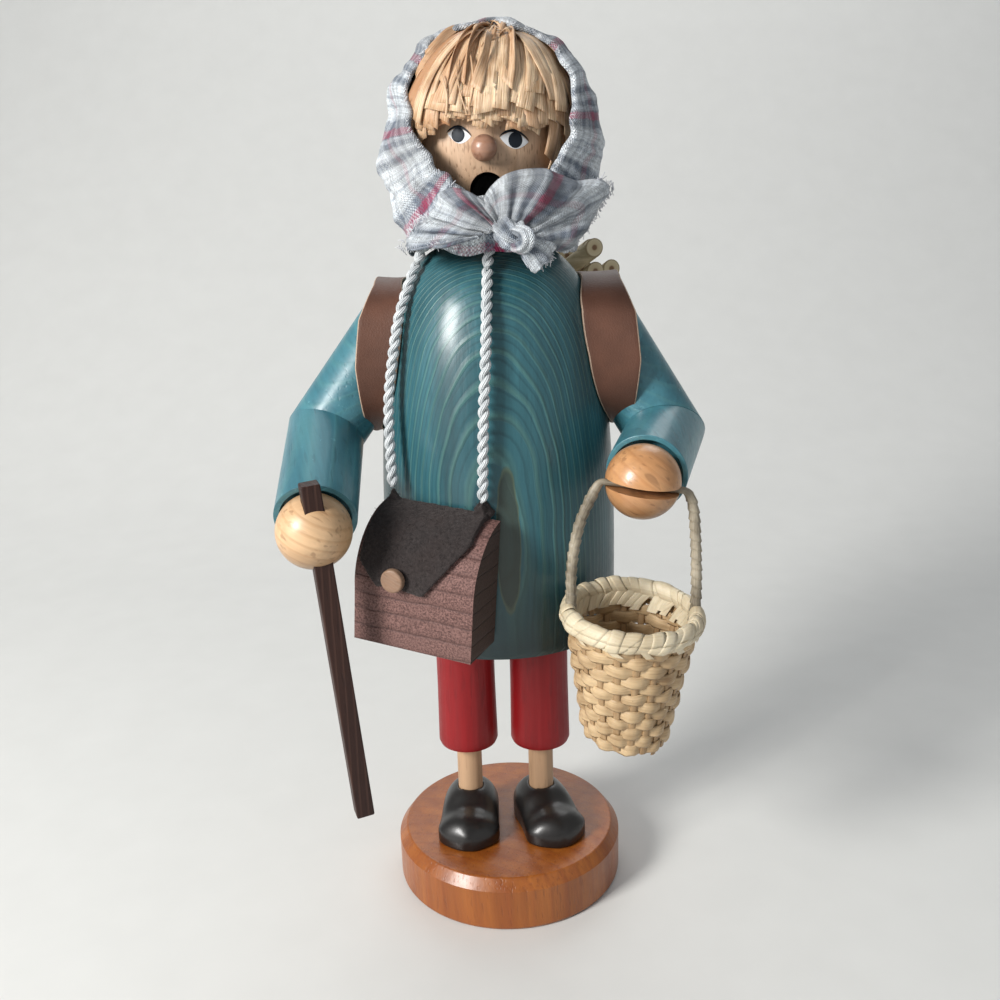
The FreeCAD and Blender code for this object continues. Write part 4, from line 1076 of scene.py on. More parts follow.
basketWeave = basketWall()
rimStrips()
basketStakes()
basketRim()
basketHandle()
fuzz("basketWhiskers", basketWeave, materials["raffia"], "basket", basketValues["whiskers"],
     basketValues["whiskerLength"], 8, basketValues["whiskerWidth"])
print("stage: basket")


def seen(x, y, away):
    # the place at depth away (mm) that shows at pixel x, y of the picture
    camera = bpy.context.scene.camera
    step, middle = view["sensor"] / (view["pixels"] * view["lens"]), view["pixels"] / 2
    way = camera.matrix_basis.to_3x3() @ Vector(((x - middle) * step, (middle - y) * step, -1))
    start = camera.matrix_basis.translation
    return start + way * ((away * mm - start.y) / way.y)


def seenOnBall(x, y, centre, radius):
    # the place on a ball that shows at pixel x, y
    camera = bpy.context.scene.camera
    start = camera.matrix_basis.translation
    way = (seen(x, y, 0) - start).normalized()
    offset = start - centre
    half = offset.dot(way)
    rest = half * half - offset.length_squared + radius * radius
    return start + way * (-half - sqrt(max(rest, 0.0)))


hairValues = {"centre": vec(0, -2.5, 183.8), "tuft": (499, 37), "crown": 1.5, "capRadius": 18.3 * mm,
              "capLow": vec(0, 0, 189.5), "thick": 0.16 * mm, "looseThick": 0.1 * mm, "loose": 58, "sideStrips": 26,
              "sideThick": 0.14 * mm,
              # radius, lift, spread in pixels, widths and painted shade of each tier, deeper on the lower tiers
              "tiers": [("under", 18.6, 0.4, 3, (2.2, 3.0), 0.30), ("middle", 19.45, 0.7, 4, (2.5, 3.7), 0.12),
                        ("upper", 20.4, 0.9, 6, (2.9, 4.6), 0.0)],
              "folded": ((462, 84, 1.2), (476, 92, -1.1), (446, 88, 0.9), (506, 88, 1.0), (420, 80, -1.3)),
              "under": [(404, 139), (410, 137), (416, 136), (422, 135), (428, 133), (433, 129), (438, 123), (443, 120),
                        (448, 118), (453, 116), (458, 115), (463, 116), (468, 118), (473, 121), (478, 124),
                        (483, 126), (488, 127), (493, 124), (498, 120), (503, 118), (508, 121), (513, 126),
                        (518, 127), (523, 126), (528, 127), (533, 129), (538, 131), (543, 128), (548, 125),
                        (553, 124), (558, 130), (563, 138), (568, 145), (573, 140)],
              "middle": [(409, 131), (418, 130), (426, 127), (434, 125), (441, 120), (449, 116), (456, 114),
                         (464, 113), (471, 116), (479, 120), (487, 124), (495, 119), (503, 114), (511, 119), (519, 124),
                         (527, 124), (535, 126), (543, 126), (551, 122), (559, 126), (567, 138), (574, 134)],
              "upper": [(411, 112), (420, 121), (429, 110), (438, 114), (447, 103), (456, 111), (465, 98), (474, 108),
                        (483, 112), (492, 96), (502, 109), (512, 104), (521, 111), (531, 96), (541, 110), (551, 101),
                        (560, 112), (568, 104), (575, 116)],
              "sides": [(549, 158), (553, 171), (558, 174), (563, 168), (569, 160), (574, 150), (577, 138), (412, 142),
                        (417, 146), (422, 141)]}


def strawRaffia():
    material, tree = newMaterial("blondRaffia")
    fibre = cloudy(tree, placed(tree, scale=(1.0, 0.035, 1.0), source="UV"), 4200.0, 4.0, 0.7)
    broad = cloudy(tree, placed(tree), 210.0)
    tone = node(tree, "Attribute", attribute_name="tone").outputs["Fac"]
    share = calc(tree, "MULTIPLY_ADD", fibre, 0.75, times(tree, broad, 0.25))
    base = mixColour(tree, spread(tree, share, 0.38, 0.60), (0.38, 0.215, 0.105), (0.88, 0.67, 0.45))
    # the tone darkens the raffia: a random part, and painted shade on the lower tiers, the cap and the strips on the
    # left
    base = mixColour(tree, times(tree, tone, 0.85), base, (0.43, 0.215, 0.105))
    return dress(material, base, spread(tree, fibre, 0.3, 0.7, 0.36, 0.6), fibre, 0.12 * mm,
                 {"Subsurface Weight": 0.12, "Subsurface Radius": (0.0012, 0.0007, 0.0003)})


materials["straw"] = strawRaffia()


def addRibbon(bm, root, end, radius, wide, lift, sway, cup, twist, tone, steps=16, across=4, jag=0.0, narrow=0.5):
    # a flat strip of raffia laid over the ball of the head from root to end, both unit directions
    toneLayer = bm.verts.layers.float.get("tone") or bm.verts.layers.float.new("tone")
    centre = hairValues["centre"]
    turn = root.angle(end)
    axis = root.cross(end).normalized()
    length = turn * radius

    def ribbonPlace(u, v):
        share = v * (1 + jag * (u - 0.5))
        direction = Matrix.Rotation(turn * share, 3, axis) @ root
        half = (u - 0.5) * wide * (narrow + (1 - narrow) * smoothStep(0.0, 0.4, v))
        roll = twist * sin(pi * min(v * 1.1, 1.0))
        sideways = sway * sin(pi * v) + half * cos(roll)
        crown = hairValues["crown"] * mm * (1 - smoothStep(0.0, 0.62, v))
        height = radius + crown + lift * sin(pi * v ** 0.8) + 0.45 * mm * v ** 4
        height += half * sin(roll) - cup * (2 * u - 1) ** 2 * wide
        return centre + direction * height + axis * sideways

    for vert in addGrid(bm, across, steps, ribbonPlace, (wide, length)):
        vert[toneLayer] = tone


def hairCap():
    # a thin cap of raffia under the ribbons, so that no wood shows between them
    bm = bmesh.new()
    bmesh.ops.create_icosphere(bm, subdivisions=5, radius=hairValues["capRadius"],
                               matrix=Matrix.Translation(hairValues["centre"]), calc_uvs=True)
    bmesh.ops.bisect_plane(bm, geom=bm.verts[:] + bm.edges[:] + bm.faces[:], plane_co=hairValues["capLow"],
                           plane_no=(0, 0, 1), clear_inner=True)
    # the cap is darkened as painted shade in the gaps between the ribbons
    layer = bm.verts.layers.float.new("tone")
    for vert in bm.verts:
        vert[layer] = 0.7
    finishPiece("hairCap", bm, materials["straw"], "figure")


def raffiaHair():
    random.seed(33)
    centre = hairValues["centre"]
    tuftX, tuftY = hairValues["tuft"]

    def toward(x, y, radius=20.0):
        return (seenOnBall(x, y, centre, radius * mm) - centre).normalized()

    def rootNear(x):
        # the strips start at the tuft, a little to the side that they hang on
        drawn = tuftX + (x - tuftX) * 0.28 + uniform(-9, 9)
        return toward(drawn, tuftY + uniform(-4, 6) + abs(drawn - tuftX) * 0.10)

    bm = bmesh.new()
    for key, radius, lift, spreadPx, widths, tierShade in hairValues["tiers"]:
        for x, y in hairValues[key]:
            wide = uniform(*widths) * mm
            shift = uniform(-spreadPx, spreadPx) * 0.5
            end = toward(x + shift, y + uniform(-2.5, 2.5))
            root, reach = rootNear(x), (radius + uniform(-0.2, 0.25)) * mm
            high = (lift * uniform(0.3, 1.1) + (0.8 if abs(x - 490) > 52 else 0.0)) * mm
            sway, cup = uniform(-1.2, 1.2) * mm, uniform(-0.02, 0.10)
            twist = random.choice((-1, 1)) * uniform(0.02, 0.30)
            # a strip's tone: its tier's painted shade, a random part, and painted shade on the strips toward the left
            tone = max(0.0, tierShade + random.choice((-0.3, -0.1, 0.1, 0.5)) + 0.55 * smoothStep(478, 425, x))
            addRibbon(bm, root, end, reach, wide, high, sway, cup, twist, tone, jag=uniform(-0.05, 0.05))
    for x, y in hairValues["sides"]:
        end = toward(x, y, 19.6)
        addRibbon(bm, rootNear(x), end, uniform(18.5, 19.4) * mm, uniform(1.8, 2.8) * mm,
                  0.7 * mm, (1.4 if x > 480 else -1.4) * mm, 0.06, uniform(-0.4, 0.4),
                  uniform(0.1, 0.5), jag=uniform(-0.12, 0.12))
    for x, y, fold in hairValues["folded"]:
        addRibbon(bm, rootNear(x), toward(x, y), 20.6 * mm, 2.3 * mm, 1.3 * mm, uniform(-1.5, 1.5) * mm,
                  -0.10, fold, uniform(0.25, 0.7), jag=0.1)
    piece = finishPiece("raffiaHair", bm, materials["straw"], "figure",
                        ["hair_fringe", "hair_left", "hair_right"])
    modified(piece, "SOLIDIFY", thickness=hairValues["thick"], offset=-1)

    # thin loose strands over the tuft, and the last three at the fringe
    loose = bmesh.new()
    for number in range(hairValues["loose"]):
        nearTuft = number < hairValues["loose"] - 3
        start = toward(tuftX + random.gauss(0, 17), tuftY + uniform(-9, 9))
        if nearTuft:
            end = toward(min(562, max(428, tuftX + random.gauss(0, 30))), tuftY + uniform(-6, 34))
        else:
            x, y = random.choice(hairValues["under"][4:-4])
            start = toward(x + uniform(-9, 9), y - uniform(30, 60))
            end = toward(x, y + uniform(-4, 7))
        if start.angle(end) < 0.12:
            continue
        if number % 3 == 0 and nearTuft:
            addRibbon(loose, start, start.lerp(end, 0.55).normalized(), 20.6 * mm, uniform(0.5, 1.1) * mm,
                      uniform(1.2, 2.4) * mm, uniform(-1.5, 1.5) * mm, 0.05, uniform(-0.9, 0.9),
                      uniform(0.0, 0.6), steps=10, across=2, narrow=0.8)
        addRibbon(loose, start, end, uniform(19.9, 20.9) * mm, uniform(0.14, 0.46) * mm,
                  uniform(0.2, 1.3) * mm, uniform(-1.1, 1.1) * mm, 0.0, uniform(-0.6, 0.6),
                  uniform(0.0, 0.5), steps=12, across=1, narrow=0.7)
    strands = finishPiece("looseRaffia", loose, materials["straw"], "figure")
    modified(strands, "SOLIDIFY", thickness=hairValues["looseThick"])


def sideRaffia():
    # the strips under the hood on both sides of the head
    random.seed(51)
    count = hairValues["sideStrips"]
    bm = bmesh.new()
    for number in range(count):
        sideways, step = (-1 if number % 2 else 1), number // 2
        turn = radians(-40 + 68 * step / (count // 2 - 1))
        root = Vector((sideways * 0.14, 0.14 - 0.02 * step, 1)).normalized()
        end = Vector((sideways * cos(turn), -sin(turn), uniform(-0.25, 0.0))).normalized()
        addRibbon(bm, root, end, uniform(18.6, 19.2) * mm, uniform(2.4, 3.6) * mm, 0.4 * mm,
                  uniform(-1.0, 1.0) * mm, 0.04, uniform(-0.1, 0.2), uniform(0.1, 0.7))
    piece = finishPiece("sideRaffia", bm, materials["straw"], "figure")
    modified(piece, "SOLIDIFY", thickness=hairValues["sideThick"])


hairCap()
sideRaffia()
raffiaHair()
print("stage: hair")


# the hood is turned round a vertical axis: shares of its width at shares of its height, in mm,
# and the edge of its opening as (degrees from the top, mm from the opening's middle)
kerchiefValues = {"width": 24.2, "bottom": 159.8, "height": 48.0, "centre": vec(1.0, -1.5, 186.0), "check": 15.3 * mm,
                  "crown": 21.9, "overlap": 6.0, "hemLow": vec(0, 0, 160.0), "hemHigh": 166.0 * mm,
                  "shares": [(0.0, 0.74), (0.10, 0.84), (0.24, 0.935), (0.42, 1.0), (0.60, 0.965), (0.76, 0.85),
                             (0.89, 0.64), (0.97, 0.36), (1.0, 0.12), (1.02, 0.0)],
                  "opening": (0.6, 187.6),
                  "edge": [(-180, 17.3), (-160, 16.2), (-135, 14.9), (-110, 14.9), (-85, 16.6), (-60, 18.2),
                           (-30, 19.2), (0, 19.4), (30, 19.8), (60, 19.2), (90, 17.6), (120, 17.3), (180, 17.3)],
                  "rows": 46, "columns": 216, "hoodThick": 0.38 * mm, "flapThick": 0.36 * mm, "knotThick": 0.3 * mm,
                  "threadHalf": 0.06 * mm, "threadThick": 0.1 * mm, "flapLong": 25.5 * mm, "flapWide": 17 * mm,
                  "flapGrid": (26, 130), "pleatMiddle": 14 * mm, "frayMiddle": 8 * mm}


def stripeColour(tree, coordinate, shift):
    # one way of the check: white, blue-grey and pale bands with a magenta stripe in each repeat
    share = calc(tree, "FRACT", calc(tree, "MULTIPLY_ADD", coordinate, 1 / kerchiefValues["check"], shift))
    white, grey, pale = (0.80, 0.85, 0.89), (0.150, 0.185, 0.240), (0.48, 0.525, 0.58)
    dark, magenta = (0.13, 0.14, 0.19), (0.30, 0.012, 0.075)
    return ramp(tree, share, [(0.0, magenta), (0.075, magenta), (0.09, dark), (0.115, grey), (0.18, grey),
                              (0.20, pale), (0.26, white), (0.355, white), (0.365, pale), (0.385, pale),
                              (0.395, white), (0.455, white), (0.465, pale), (0.49, pale), (0.50, white),
                              (0.62, white), (0.64, pale), (0.67, grey), (0.72, grey), (0.74, pale),
                              (0.79, white), (0.83, pale), (0.85, grey), (0.90, grey), (0.92, pale),
                              (0.955, pale), (0.975, dark), (0.99, magenta)])


def checkedCotton(name, shiftX, shiftY, weftShare, pitch):
    material, tree = newMaterial(name)
    flat = placed(tree, source="UV")
    drift = calc(tree, "MULTIPLY_ADD", cloudy(tree, flat, 260.0), 0.0012, -0.0006)
    parts = node(tree, "SeparateXYZ", {0: flat})
    across, along = (calc(tree, "ADD", parts.outputs[k], drift) for k in (0, 1))
    moved = node(tree, "CombineXYZ", {0: across, 1: along, 2: 0.0}).outputs[0]
    weave = use(tree, plainWeave, {"Flat": moved, "Pitch": pitch * 2})
    turn = spread(tree, weave["Height"], 0.42, 0.58)
    base = mixColour(tree, calc(tree, "MULTIPLY_ADD", turn, 0.42, weftShare), stripeColour(tree, across, shiftX),
                     stripeColour(tree, along, shiftY))
    # each thread has its own thickness and shade, so the cloth is streaked both ways
    warpYarn, weftYarn = (cloudy(tree, placed(tree, scale=scale, source="UV"), 3000.0, 2.0, 0.7)
                          for scale in ((1.0, 0.07, 1.0), (0.07, 1.0, 1.0)))
    yarn = mixColour(tree, turn, warpYarn, weftYarn)
    base = shaded(tree, base, spread(tree, yarn, 0.34, 0.66, 0.50, 1.30))
    stain = spread(tree, cloudy(tree, placed(tree), 75.0, 3.0), 0.40, 0.72, 0.0, 0.40)
    return dress(material, mixColour(tree, stain, base, (0.27, 0.265, 0.26)), 0.86,
                 calc(tree, "MULTIPLY_ADD", yarn, 0.6, weave["Height"]), 0.26 * mm,
                 {"Specular IOR Level": 0.25, "Sheen Weight": 0.18, "Subsurface Weight": 0.06,
                  "Subsurface Radius": (0.0012, 0.0010, 0.0009)})


materials["hoodCotton"] = checkedCotton("checkedCotton", 0.10, 0.35, 0.12, 0.34 * mm)
materials["flapCotton"] = checkedCotton("checkedCottonFlap", 0.273, 0.42, 0.04, 0.20 * mm)
materials["threads"] = dress(newMaterial("cottonThread")[0], (0.62, 0.63, 0.66, 1), 0.9)


def hoodRadius(z):
    share = (z / mm - kerchiefValues["bottom"]) / kerchiefValues["height"]
    return table(kerchiefValues["shares"], share) * kerchiefValues["width"] * mm


def hoodPoint(direction):
    # the ray from the middle of the hood to its turned outline
    centre = kerchiefValues["centre"]
    near, far = 5 * mm, 40 * mm
    for _ in range(26):
        middle = (near + far) / 2
        point = centre + direction * middle
        flat = hypot(point.x - centre.x, point.y - centre.y)
        low = point.z < (kerchiefValues["bottom"] - kerchiefValues["overlap"]) * mm
        if low or (point.z > centre.z + kerchiefValues["crown"] * mm) or flat > hoodRadius(point.z):
            far = middle
        else:
            near = middle
    return centre + direction * near


def hoodDirection(tilt, around):
    # tilt from straight ahead, around from the top toward the right
    return Vector((sin(tilt) * sin(around), -cos(tilt), sin(tilt) * cos(around)))


def hoodEdge(around):
    # the tilt at which the hood starts, found by halving
    openX, openZ = kerchiefValues["opening"]
    low, high = 0.05, 1.9
    turn = (degrees(around) + 180) % 360 - 180
    reach = table(kerchiefValues["edge"], turn) + 0.35 * sin(around * 11 + 1) + 0.25 * sin(around * 19)
    for _ in range(24):
        middle = (low + high) / 2
        point = hoodPoint(hoodDirection(middle, around)) / mm
        if hypot(point.x - openX, point.z - openZ) < reach:
            low = middle
        else:
            high = middle
    return low


def turnMap(bm, start=0.0):
    # turns the UV map by a quarter, so that the check runs with the cloth
    layer = bm.loops.layers.uv.verify()
    for face in bm.faces:
        for loop in face.loops:
            u, v = loop[layer].uv
            loop[layer].uv = (v + start, u)


def hood():
    values = kerchiefValues
    columns = values["columns"]
    edges = [hoodEdge(tau * k / columns) for k in range(columns + 1)]
    bm = bmesh.new()

    def hoodPlace(u, v):
        around = tau * v
        tilt = mixed(edges[round(v * columns)], pi * 0.999, u ** 1.25)
        direction = hoodDirection(tilt, around)
        point = hoodPoint(direction)
        swing = sin(tau * v)
        back = 1 - smoothStep(0.72, 1.0, u)
        calm = smoothStep(0.0, 0.18, u) * back + 0.35 * back
        ring = Vector((cos(around), sin(around), u * 0.5)) * 10 * mm
        folds = sin(around * 9 + 2.6 * wobble(ring, 4 * mm, 1.0) + u * 2.0) * 0.5
        small = sin(around * 17 + 3.4 * wobble(ring, 3 * mm, 2.0) - u * 3.0) * 0.45
        folds += small * (0.5 + wobble(ring, 5 * mm, 8.0))
        folds += 0.9 * wobble(point, 7 * mm, 5.0)
        # the folds are deeper at the sides, on the left and low down
        lower = smoothStep(187 * mm, 170 * mm, point.z)
        height = folds * (0.30 + 0.38 * abs(swing) + 0.40 * max(0.0, -swing) + 0.40 * lower) * calm * mm
        height += 0.28 * mm * wobble(point, 2.2 * mm, 9.0) * calm
        tuck = (1 - smoothStep(0.0, 0.03, u)) * 1.1 * mm
        return point + direction * (height - tuck)

    addGrid(bm, values["rows"], columns, hoodPlace, (0.052, 8 * values["check"]))
    turnMap(bm)
    bmesh.ops.remove_doubles(bm, verts=bm.verts, dist=0.02 * mm)
    bmesh.ops.bisect_plane(bm, geom=bm.verts[:] + bm.edges[:] + bm.faces[:], plane_co=values["hemLow"],
                           plane_no=(0.02, 0.03, 1), clear_inner=True)
    for vert in bm.verts:
        # the hem waves up and down, and in and out
        if vert.co.z < values["hemHigh"]:
            share = 1 - smoothStep(values["hemLow"].z, values["hemHigh"], vert.co.z)
            angle = atan2(vert.co.y, vert.co.x)
            vert.co.z += share * (0.8 * sin(angle * 5 + 0.6) + 0.5 * sin(angle * 11)) * mm
            out = Vector((vert.co.x - 1.0 * mm, vert.co.y + 1.5 * mm, 0)).normalized()
            vert.co += out * share * (0.7 * sin(angle * 9 + 1.0) + 0.3) * mm
    piece = finishPiece("kerchiefHood", bm, materials["hoodCotton"], "figure", ["kerchief"],
                        outward=True)
    modified(piece, "SOLIDIFY", thickness=values["hoodThick"], offset=-1)


def curvePoint(points, share):
    # a smooth line through the points, read at 0 to 1
    place = share * (len(points) - 1)
    number = min(int(place), len(points) - 2)
    t = place - number
    before, start = points[max(number - 1, 0)], points[number]
    end, after = points[number + 1], points[min(number + 2, len(points) - 1)]
    return ((start * 2) + (end - before) * t + (before * 2 - start * 5 + end * 4 - after) * t * t
            + (start * 3 - before - end * 3 + after) * t * t * t) / 2


# the two sides of the bow, from the outer line to the inner one, as pixels and depths (mm)
flapShapes = {
    "right": {"outer": [(484, 205, -27.5), (487, 194, -26.8), (497, 182, -26.6), (511, 173, -26.5), (527, 169, -26.2),
                        (545, 169, -25.0), (562, 174, -23.0), (580, 181, -20.0), (597, 180, -16.5), (613, 186, -13.0),
                        (603, 204, -15.5), (592, 222, -18.0), (578, 240, -20.5), (562, 252, -23.0)],
              "inner": [(497, 219, -27.0), (503, 223, -28.2), (510, 228, -28.6), (518, 232, -28.8), (526, 236, -28.6),
                        (534, 240, -28.0), (541, 244, -27.2)],
              "pleats": 5, "depth": 0.46, "roll": 7, "start": 0.0, "swell": 1.8},
    "left": {"outer": [(498, 216, -27.8), (490, 204, -27.6), (477, 196, -27.3), (462, 189, -26.8), (447, 187, -25.6),
                       (437, 193, -24.4), (433, 205, -23.8), (427, 215, -22.4), (417, 222, -20.6), (409, 232, -18.6),
                       (400, 248, -16.6), (416, 249, -19.0), (434, 246, -22.0), (450, 243, -24.4)],
             "inner": [(504, 226, -27.6), (499, 228, -28.2), (494, 230, -28.4), (487, 233, -28.2), (479, 236, -27.4),
                       (469, 239, -26.4)],
             "pleats": 8, "depth": 0.85, "roll": 6, "start": 4.6 * mm, "swell": 0.7}}


def kerchiefFlap(name, shape):
    outer = [seen(*place) for place in shape["outer"]]
    inner = [seen(*place) for place in shape["inner"]]
    middle = kerchiefValues["centre"] - Vector((0, 0, kerchiefValues["pleatMiddle"]))
    bm = bmesh.new()

    def flapPlace(u, v):
        point = curvePoint(inner, v).lerp(curvePoint(outer, v), u)
        out = (point - middle).normalized()
        pleat = sin(tau * shape["pleats"] * v + 1.3 * sin(5 * v) + shape["roll"])
        pleat += 0.5 * sin(tau * shape["pleats"] * 1.9 * v + 2.0 * u)
        swell = shape["swell"] * sin(pi * u)
        swell += shape["depth"] * pleat * (0.45 + 0.55 * u) * (1 - 0.45 * u * u)
        swell += 1.25 * wobble(point, 4.4 * mm, shape["roll"]) + 0.25 * wobble(point, 1.8 * mm, shape["roll"] + 3)
        curl = smoothStep(0.90, 1.0, u) * 1.1
        return point + out * (swell - curl) * mm

    addGrid(bm, *kerchiefValues["flapGrid"], flapPlace, (kerchiefValues["flapWide"], kerchiefValues["flapLong"]))
    turnMap(bm, shape["start"])
    piece = finishPiece(name, bm, materials["flapCotton"], "figure", outward=True)
    modified(piece, "SOLIDIFY", thickness=kerchiefValues["flapThick"], offset=-1)


# the knot's core, the band round it as pixels and depths (mm), and the core's half width (mm) along it
knotValues = {"core": [(497, 222, -27.0), (507, 230, -29.0), (517, 238, -30.2), (528, 246, -30.4), (536, 253, -29.8),
                       (543, 260, -29.0)],
              "band": [(512, 229, -30.0), (523, 230, -32.6), (529, 238, -34.0), (525, 247, -33.2), (515, 249, -30.6),
                       (507, 243, -29.0)],
              "girth": [(0.0, 1.5), (0.16, 2.3), (0.34, 2.6), (0.50, 1.9), (0.60, 1.8), (0.78, 2.3), (0.92, 2.8),
                        (1.0, 2.7)],
              "coreMap": (64, 11.5 * mm, 1.2), "bandMap": (40, 9 * mm, 1), "step": 0.25 * mm, "mapStart": 13.0 * mm}


def kerchiefKnot():
    values = knotValues
    bm = bmesh.new()

    def corePlace(u, v, frames):
        point, a, b = frameAt(frames, v)
        angle = tau * u
        pleat = 1 + 0.20 * sin(angle * 6 + v * 5) + 0.10 * sin(angle * 11 - v * 7)
        pleat += 0.22 * wobble(point + a * cos(angle) * 2 * mm, 2.4 * mm, 4.0)
        girth = table(values["girth"], v)
        return point + (a * cos(angle) * 1.1 + b * sin(angle) * 0.82) * girth * pleat * mm

    def bandPlace(u, v, frames):
        point, a, b = frameAt(frames, v)
        angle = tau * u
        pleat = 1 + 0.16 * sin(angle * 5 + v * 3) + 0.15 * wobble(point, 2 * mm, 6.0)
        taper = 0.55 + 0.45 * sin(pi * v)
        return point + (a * cos(angle) * 1.55 + b * sin(angle) * 1.0) * pleat * taper * mm

    for key, place in (("core", corePlace), ("band", bandPlace)):
        line, length = splineLine([seen(*point) for point in values[key]], values["step"])
        frames = lineFrames(line)
        across, wide, longer = values[key + "Map"]
        addGrid(bm, across, len(frames) - 1, lambda u, v: place(u, v, frames), (wide, length * longer))
    layer = bm.loops.layers.uv.verify()
    for face in bm.faces:
        for loop in face.loops:
            loop[layer].uv.x += values["mapStart"]
    piece = finishPiece("kerchiefKnot", bm, materials["flapCotton"], "figure", ["kerchief_knot"],
                        merge=weldGap, outward=True)
    modified(piece, "SOLIDIFY", thickness=kerchiefValues["knotThick"], offset=-1)


# heights, half widths and clearance in mm
tailValues = {"top": 192.0, "tip": 157.5, "half": 17.5, "tipHalf": 0.7, "hem": 160.5, "clear": 0.55,
              "tuckShare": 0.08, "grid": 44, "map": 34 * mm}


def kerchiefTail():
    # the loose corner at the back of the hood (not in the picture, a guess)
    values = tailValues
    bm = bmesh.new()

    def tailPlace(u, v):
        high = mixed(values["top"], values["tip"], u)
        x = (2 * v - 1) * mixed(values["half"], values["tipHalf"], u ** 1.1)
        base = hoodRadius(max(high, values["hem"]) * mm) / mm
        y = -1.5 + sqrt(max(base * base - x * x, 9.0)) + values["clear"]
        fold = sin(x * 0.95 + 0.6 * sin(high * 0.2)) * 0.45 * (0.3 + u)
        if u < values["tuckShare"]:
            y -= (values["tuckShare"] - u) * 12
        return vec(x + 1.0, y + fold, high)

    addGrid(bm, values["grid"], values["grid"], tailPlace, (values["map"], values["map"]))
    piece = finishPiece("kerchiefTail", bm, materials["flapCotton"], "figure", outward=True)
    modified(piece, "SOLIDIFY", thickness=kerchiefValues["flapThick"])


def frayedEdge(name, points, count, length, seed):
    # loose threads along an edge
    random.seed(seed)
    bm = bmesh.new()
    middle = kerchiefValues["centre"] - Vector((0, 0, kerchiefValues["frayMiddle"]))
    for _ in range(count):
        share = random.random()
        root = curvePoint(points, share)
        tangent = (curvePoint(points, min(share + 0.01, 1.0)) - curvePoint(points, max(share - 0.01, 0.0))).normalized()
        face = (root - middle).normalized()
        out = tangent.cross(face).normalized()
        if out.dot(root - middle) < 0:
            out = -out
        way = (out + tangent * uniform(-0.9, 0.9) + face * uniform(-0.5, 0.6)).normalized()
        tall = length * uniform(0.35, 1.0)
        bend = Vector([uniform(-1, 1) for _ in range(3)]) * tall * 0.45
        side = way.orthogonal().normalized() * kerchiefValues["threadHalf"]
        start = root - way * 0.7 * mm
        spine = [start, start + way * tall * 0.4 + bend * 0.15, start + way * tall * 0.75 + bend * 0.5,
                 start + way * tall + bend]
        addFibre(bm, spine, [side] * 4)
    piece = finishPiece(name, bm, materials["threads"], "figure")
    modified(piece, "SOLIDIFY", thickness=kerchiefValues["threadThick"])


hood()
kerchiefFlap("kerchiefFlapRight", flapShapes["right"])
kerchiefFlap("kerchiefFlapLeft", flapShapes["left"])
kerchiefKnot()
kerchiefTail()
opening = [hoodPoint(hoodDirection(hoodEdge(tau * k / 24), tau * k / 24)) for k in range(25)]
tailEnd = [(534, 263, -30.5), (542, 265, -30), (550, 260, -29.5), (550, 253, -29)]
frayedEdge("frayRight", [seen(*place) for place in flapShapes["right"]["outer"][8:]], 110, 1.9 * mm, 3)
frayedEdge("frayLeft", [seen(*place) for place in flapShapes["left"]["outer"][7:]], 90, 1.8 * mm, 4)
frayedEdge("frayKnot", [seen(*place) for place in tailEnd], 60, 1.7 * mm, 6)
frayedEdge("frayOpening", opening, 90, 1.3 * mm, 7)
print("stage: kerchief")


headValues = {"centre": vec(0, -1.5, 182.2), "radius": 17.5, "hollow": 17.2, "sootDepth": 0.4}


def sootInside(material):
    # the hollow of the head is black with soot, the outside stays bare
    tree, bare = stainOf(material)
    hollow, depth = headValues["hollow"] * mm, headValues["sootDepth"] * mm
    away = node(tree, "VectorMath", {0: placed(tree), 1: tuple(headValues["centre"])}, operation="DISTANCE")
    share = spread(tree, away.outputs["Value"], hollow - depth, hollow)
    dress(material, mixColour(tree, share, (0.006, 0.006, 0.007), bare))


sootInside(materials["face"])


def glossPaint(name, colour):
    material, tree = newMaterial(name)
    speck = cloudy(tree, placed(tree), 2400.0)
    lighter = tuple(min(1.0, c * 1.5 + 0.004) for c in colour)
    return dress(material, mixColour(tree, times(tree, speck, 0.35), colour, lighter), 0.5, speck,
                 0.02 * mm, {"Specular IOR Level": 0.25})


materials["eyeWhite"] = glossPaint("eyeWhitePaint", (0.74, 0.76, 0.78))
materials["eyeDark"] = glossPaint("eyeDarkPaint", (0.008, 0.013, 0.021))
# the white as corners and arches, the iris as middle and half sizes, the lash as corners, arch and
# thickness, all in pixels; the lifts off the wood in mm
eyeValues = {"Left": {"white": ((447.5, 133.5), (471.0, 136.5), 6.5, 8.5), "iris": (458.0, 135.0, 6.6, 7.4),
                      "lash": ((446.5, 132.8), (471.6, 136.3), 6.6, 2.6)},
             "Right": {"white": ((500.0, 137.5), (528.5, 142.0), 7.5, 9.0), "iris": (515.4, 140.0, 7.0, 8.0),
                       "lash": ((499.0, 137.0), (529.5, 141.8), 7.6, 2.8)}}
eyeLifts = {"white": 0.06, "iris": 0.11, "lash": 0.14, "edge": 0.03 * mm, "crest": 0.02 * mm}


def onHead(x, y, radius):
    return seenOnBall(x, y, headValues["centre"], radius)


def finishPaint(name, bm, material):
    bmesh.ops.recalc_face_normals(bm, faces=bm.faces)
    if bm.faces[0].normal.y > 0:
        bmesh.ops.reverse_faces(bm, faces=bm.faces)
    finishPiece(name, bm, material, "figure")


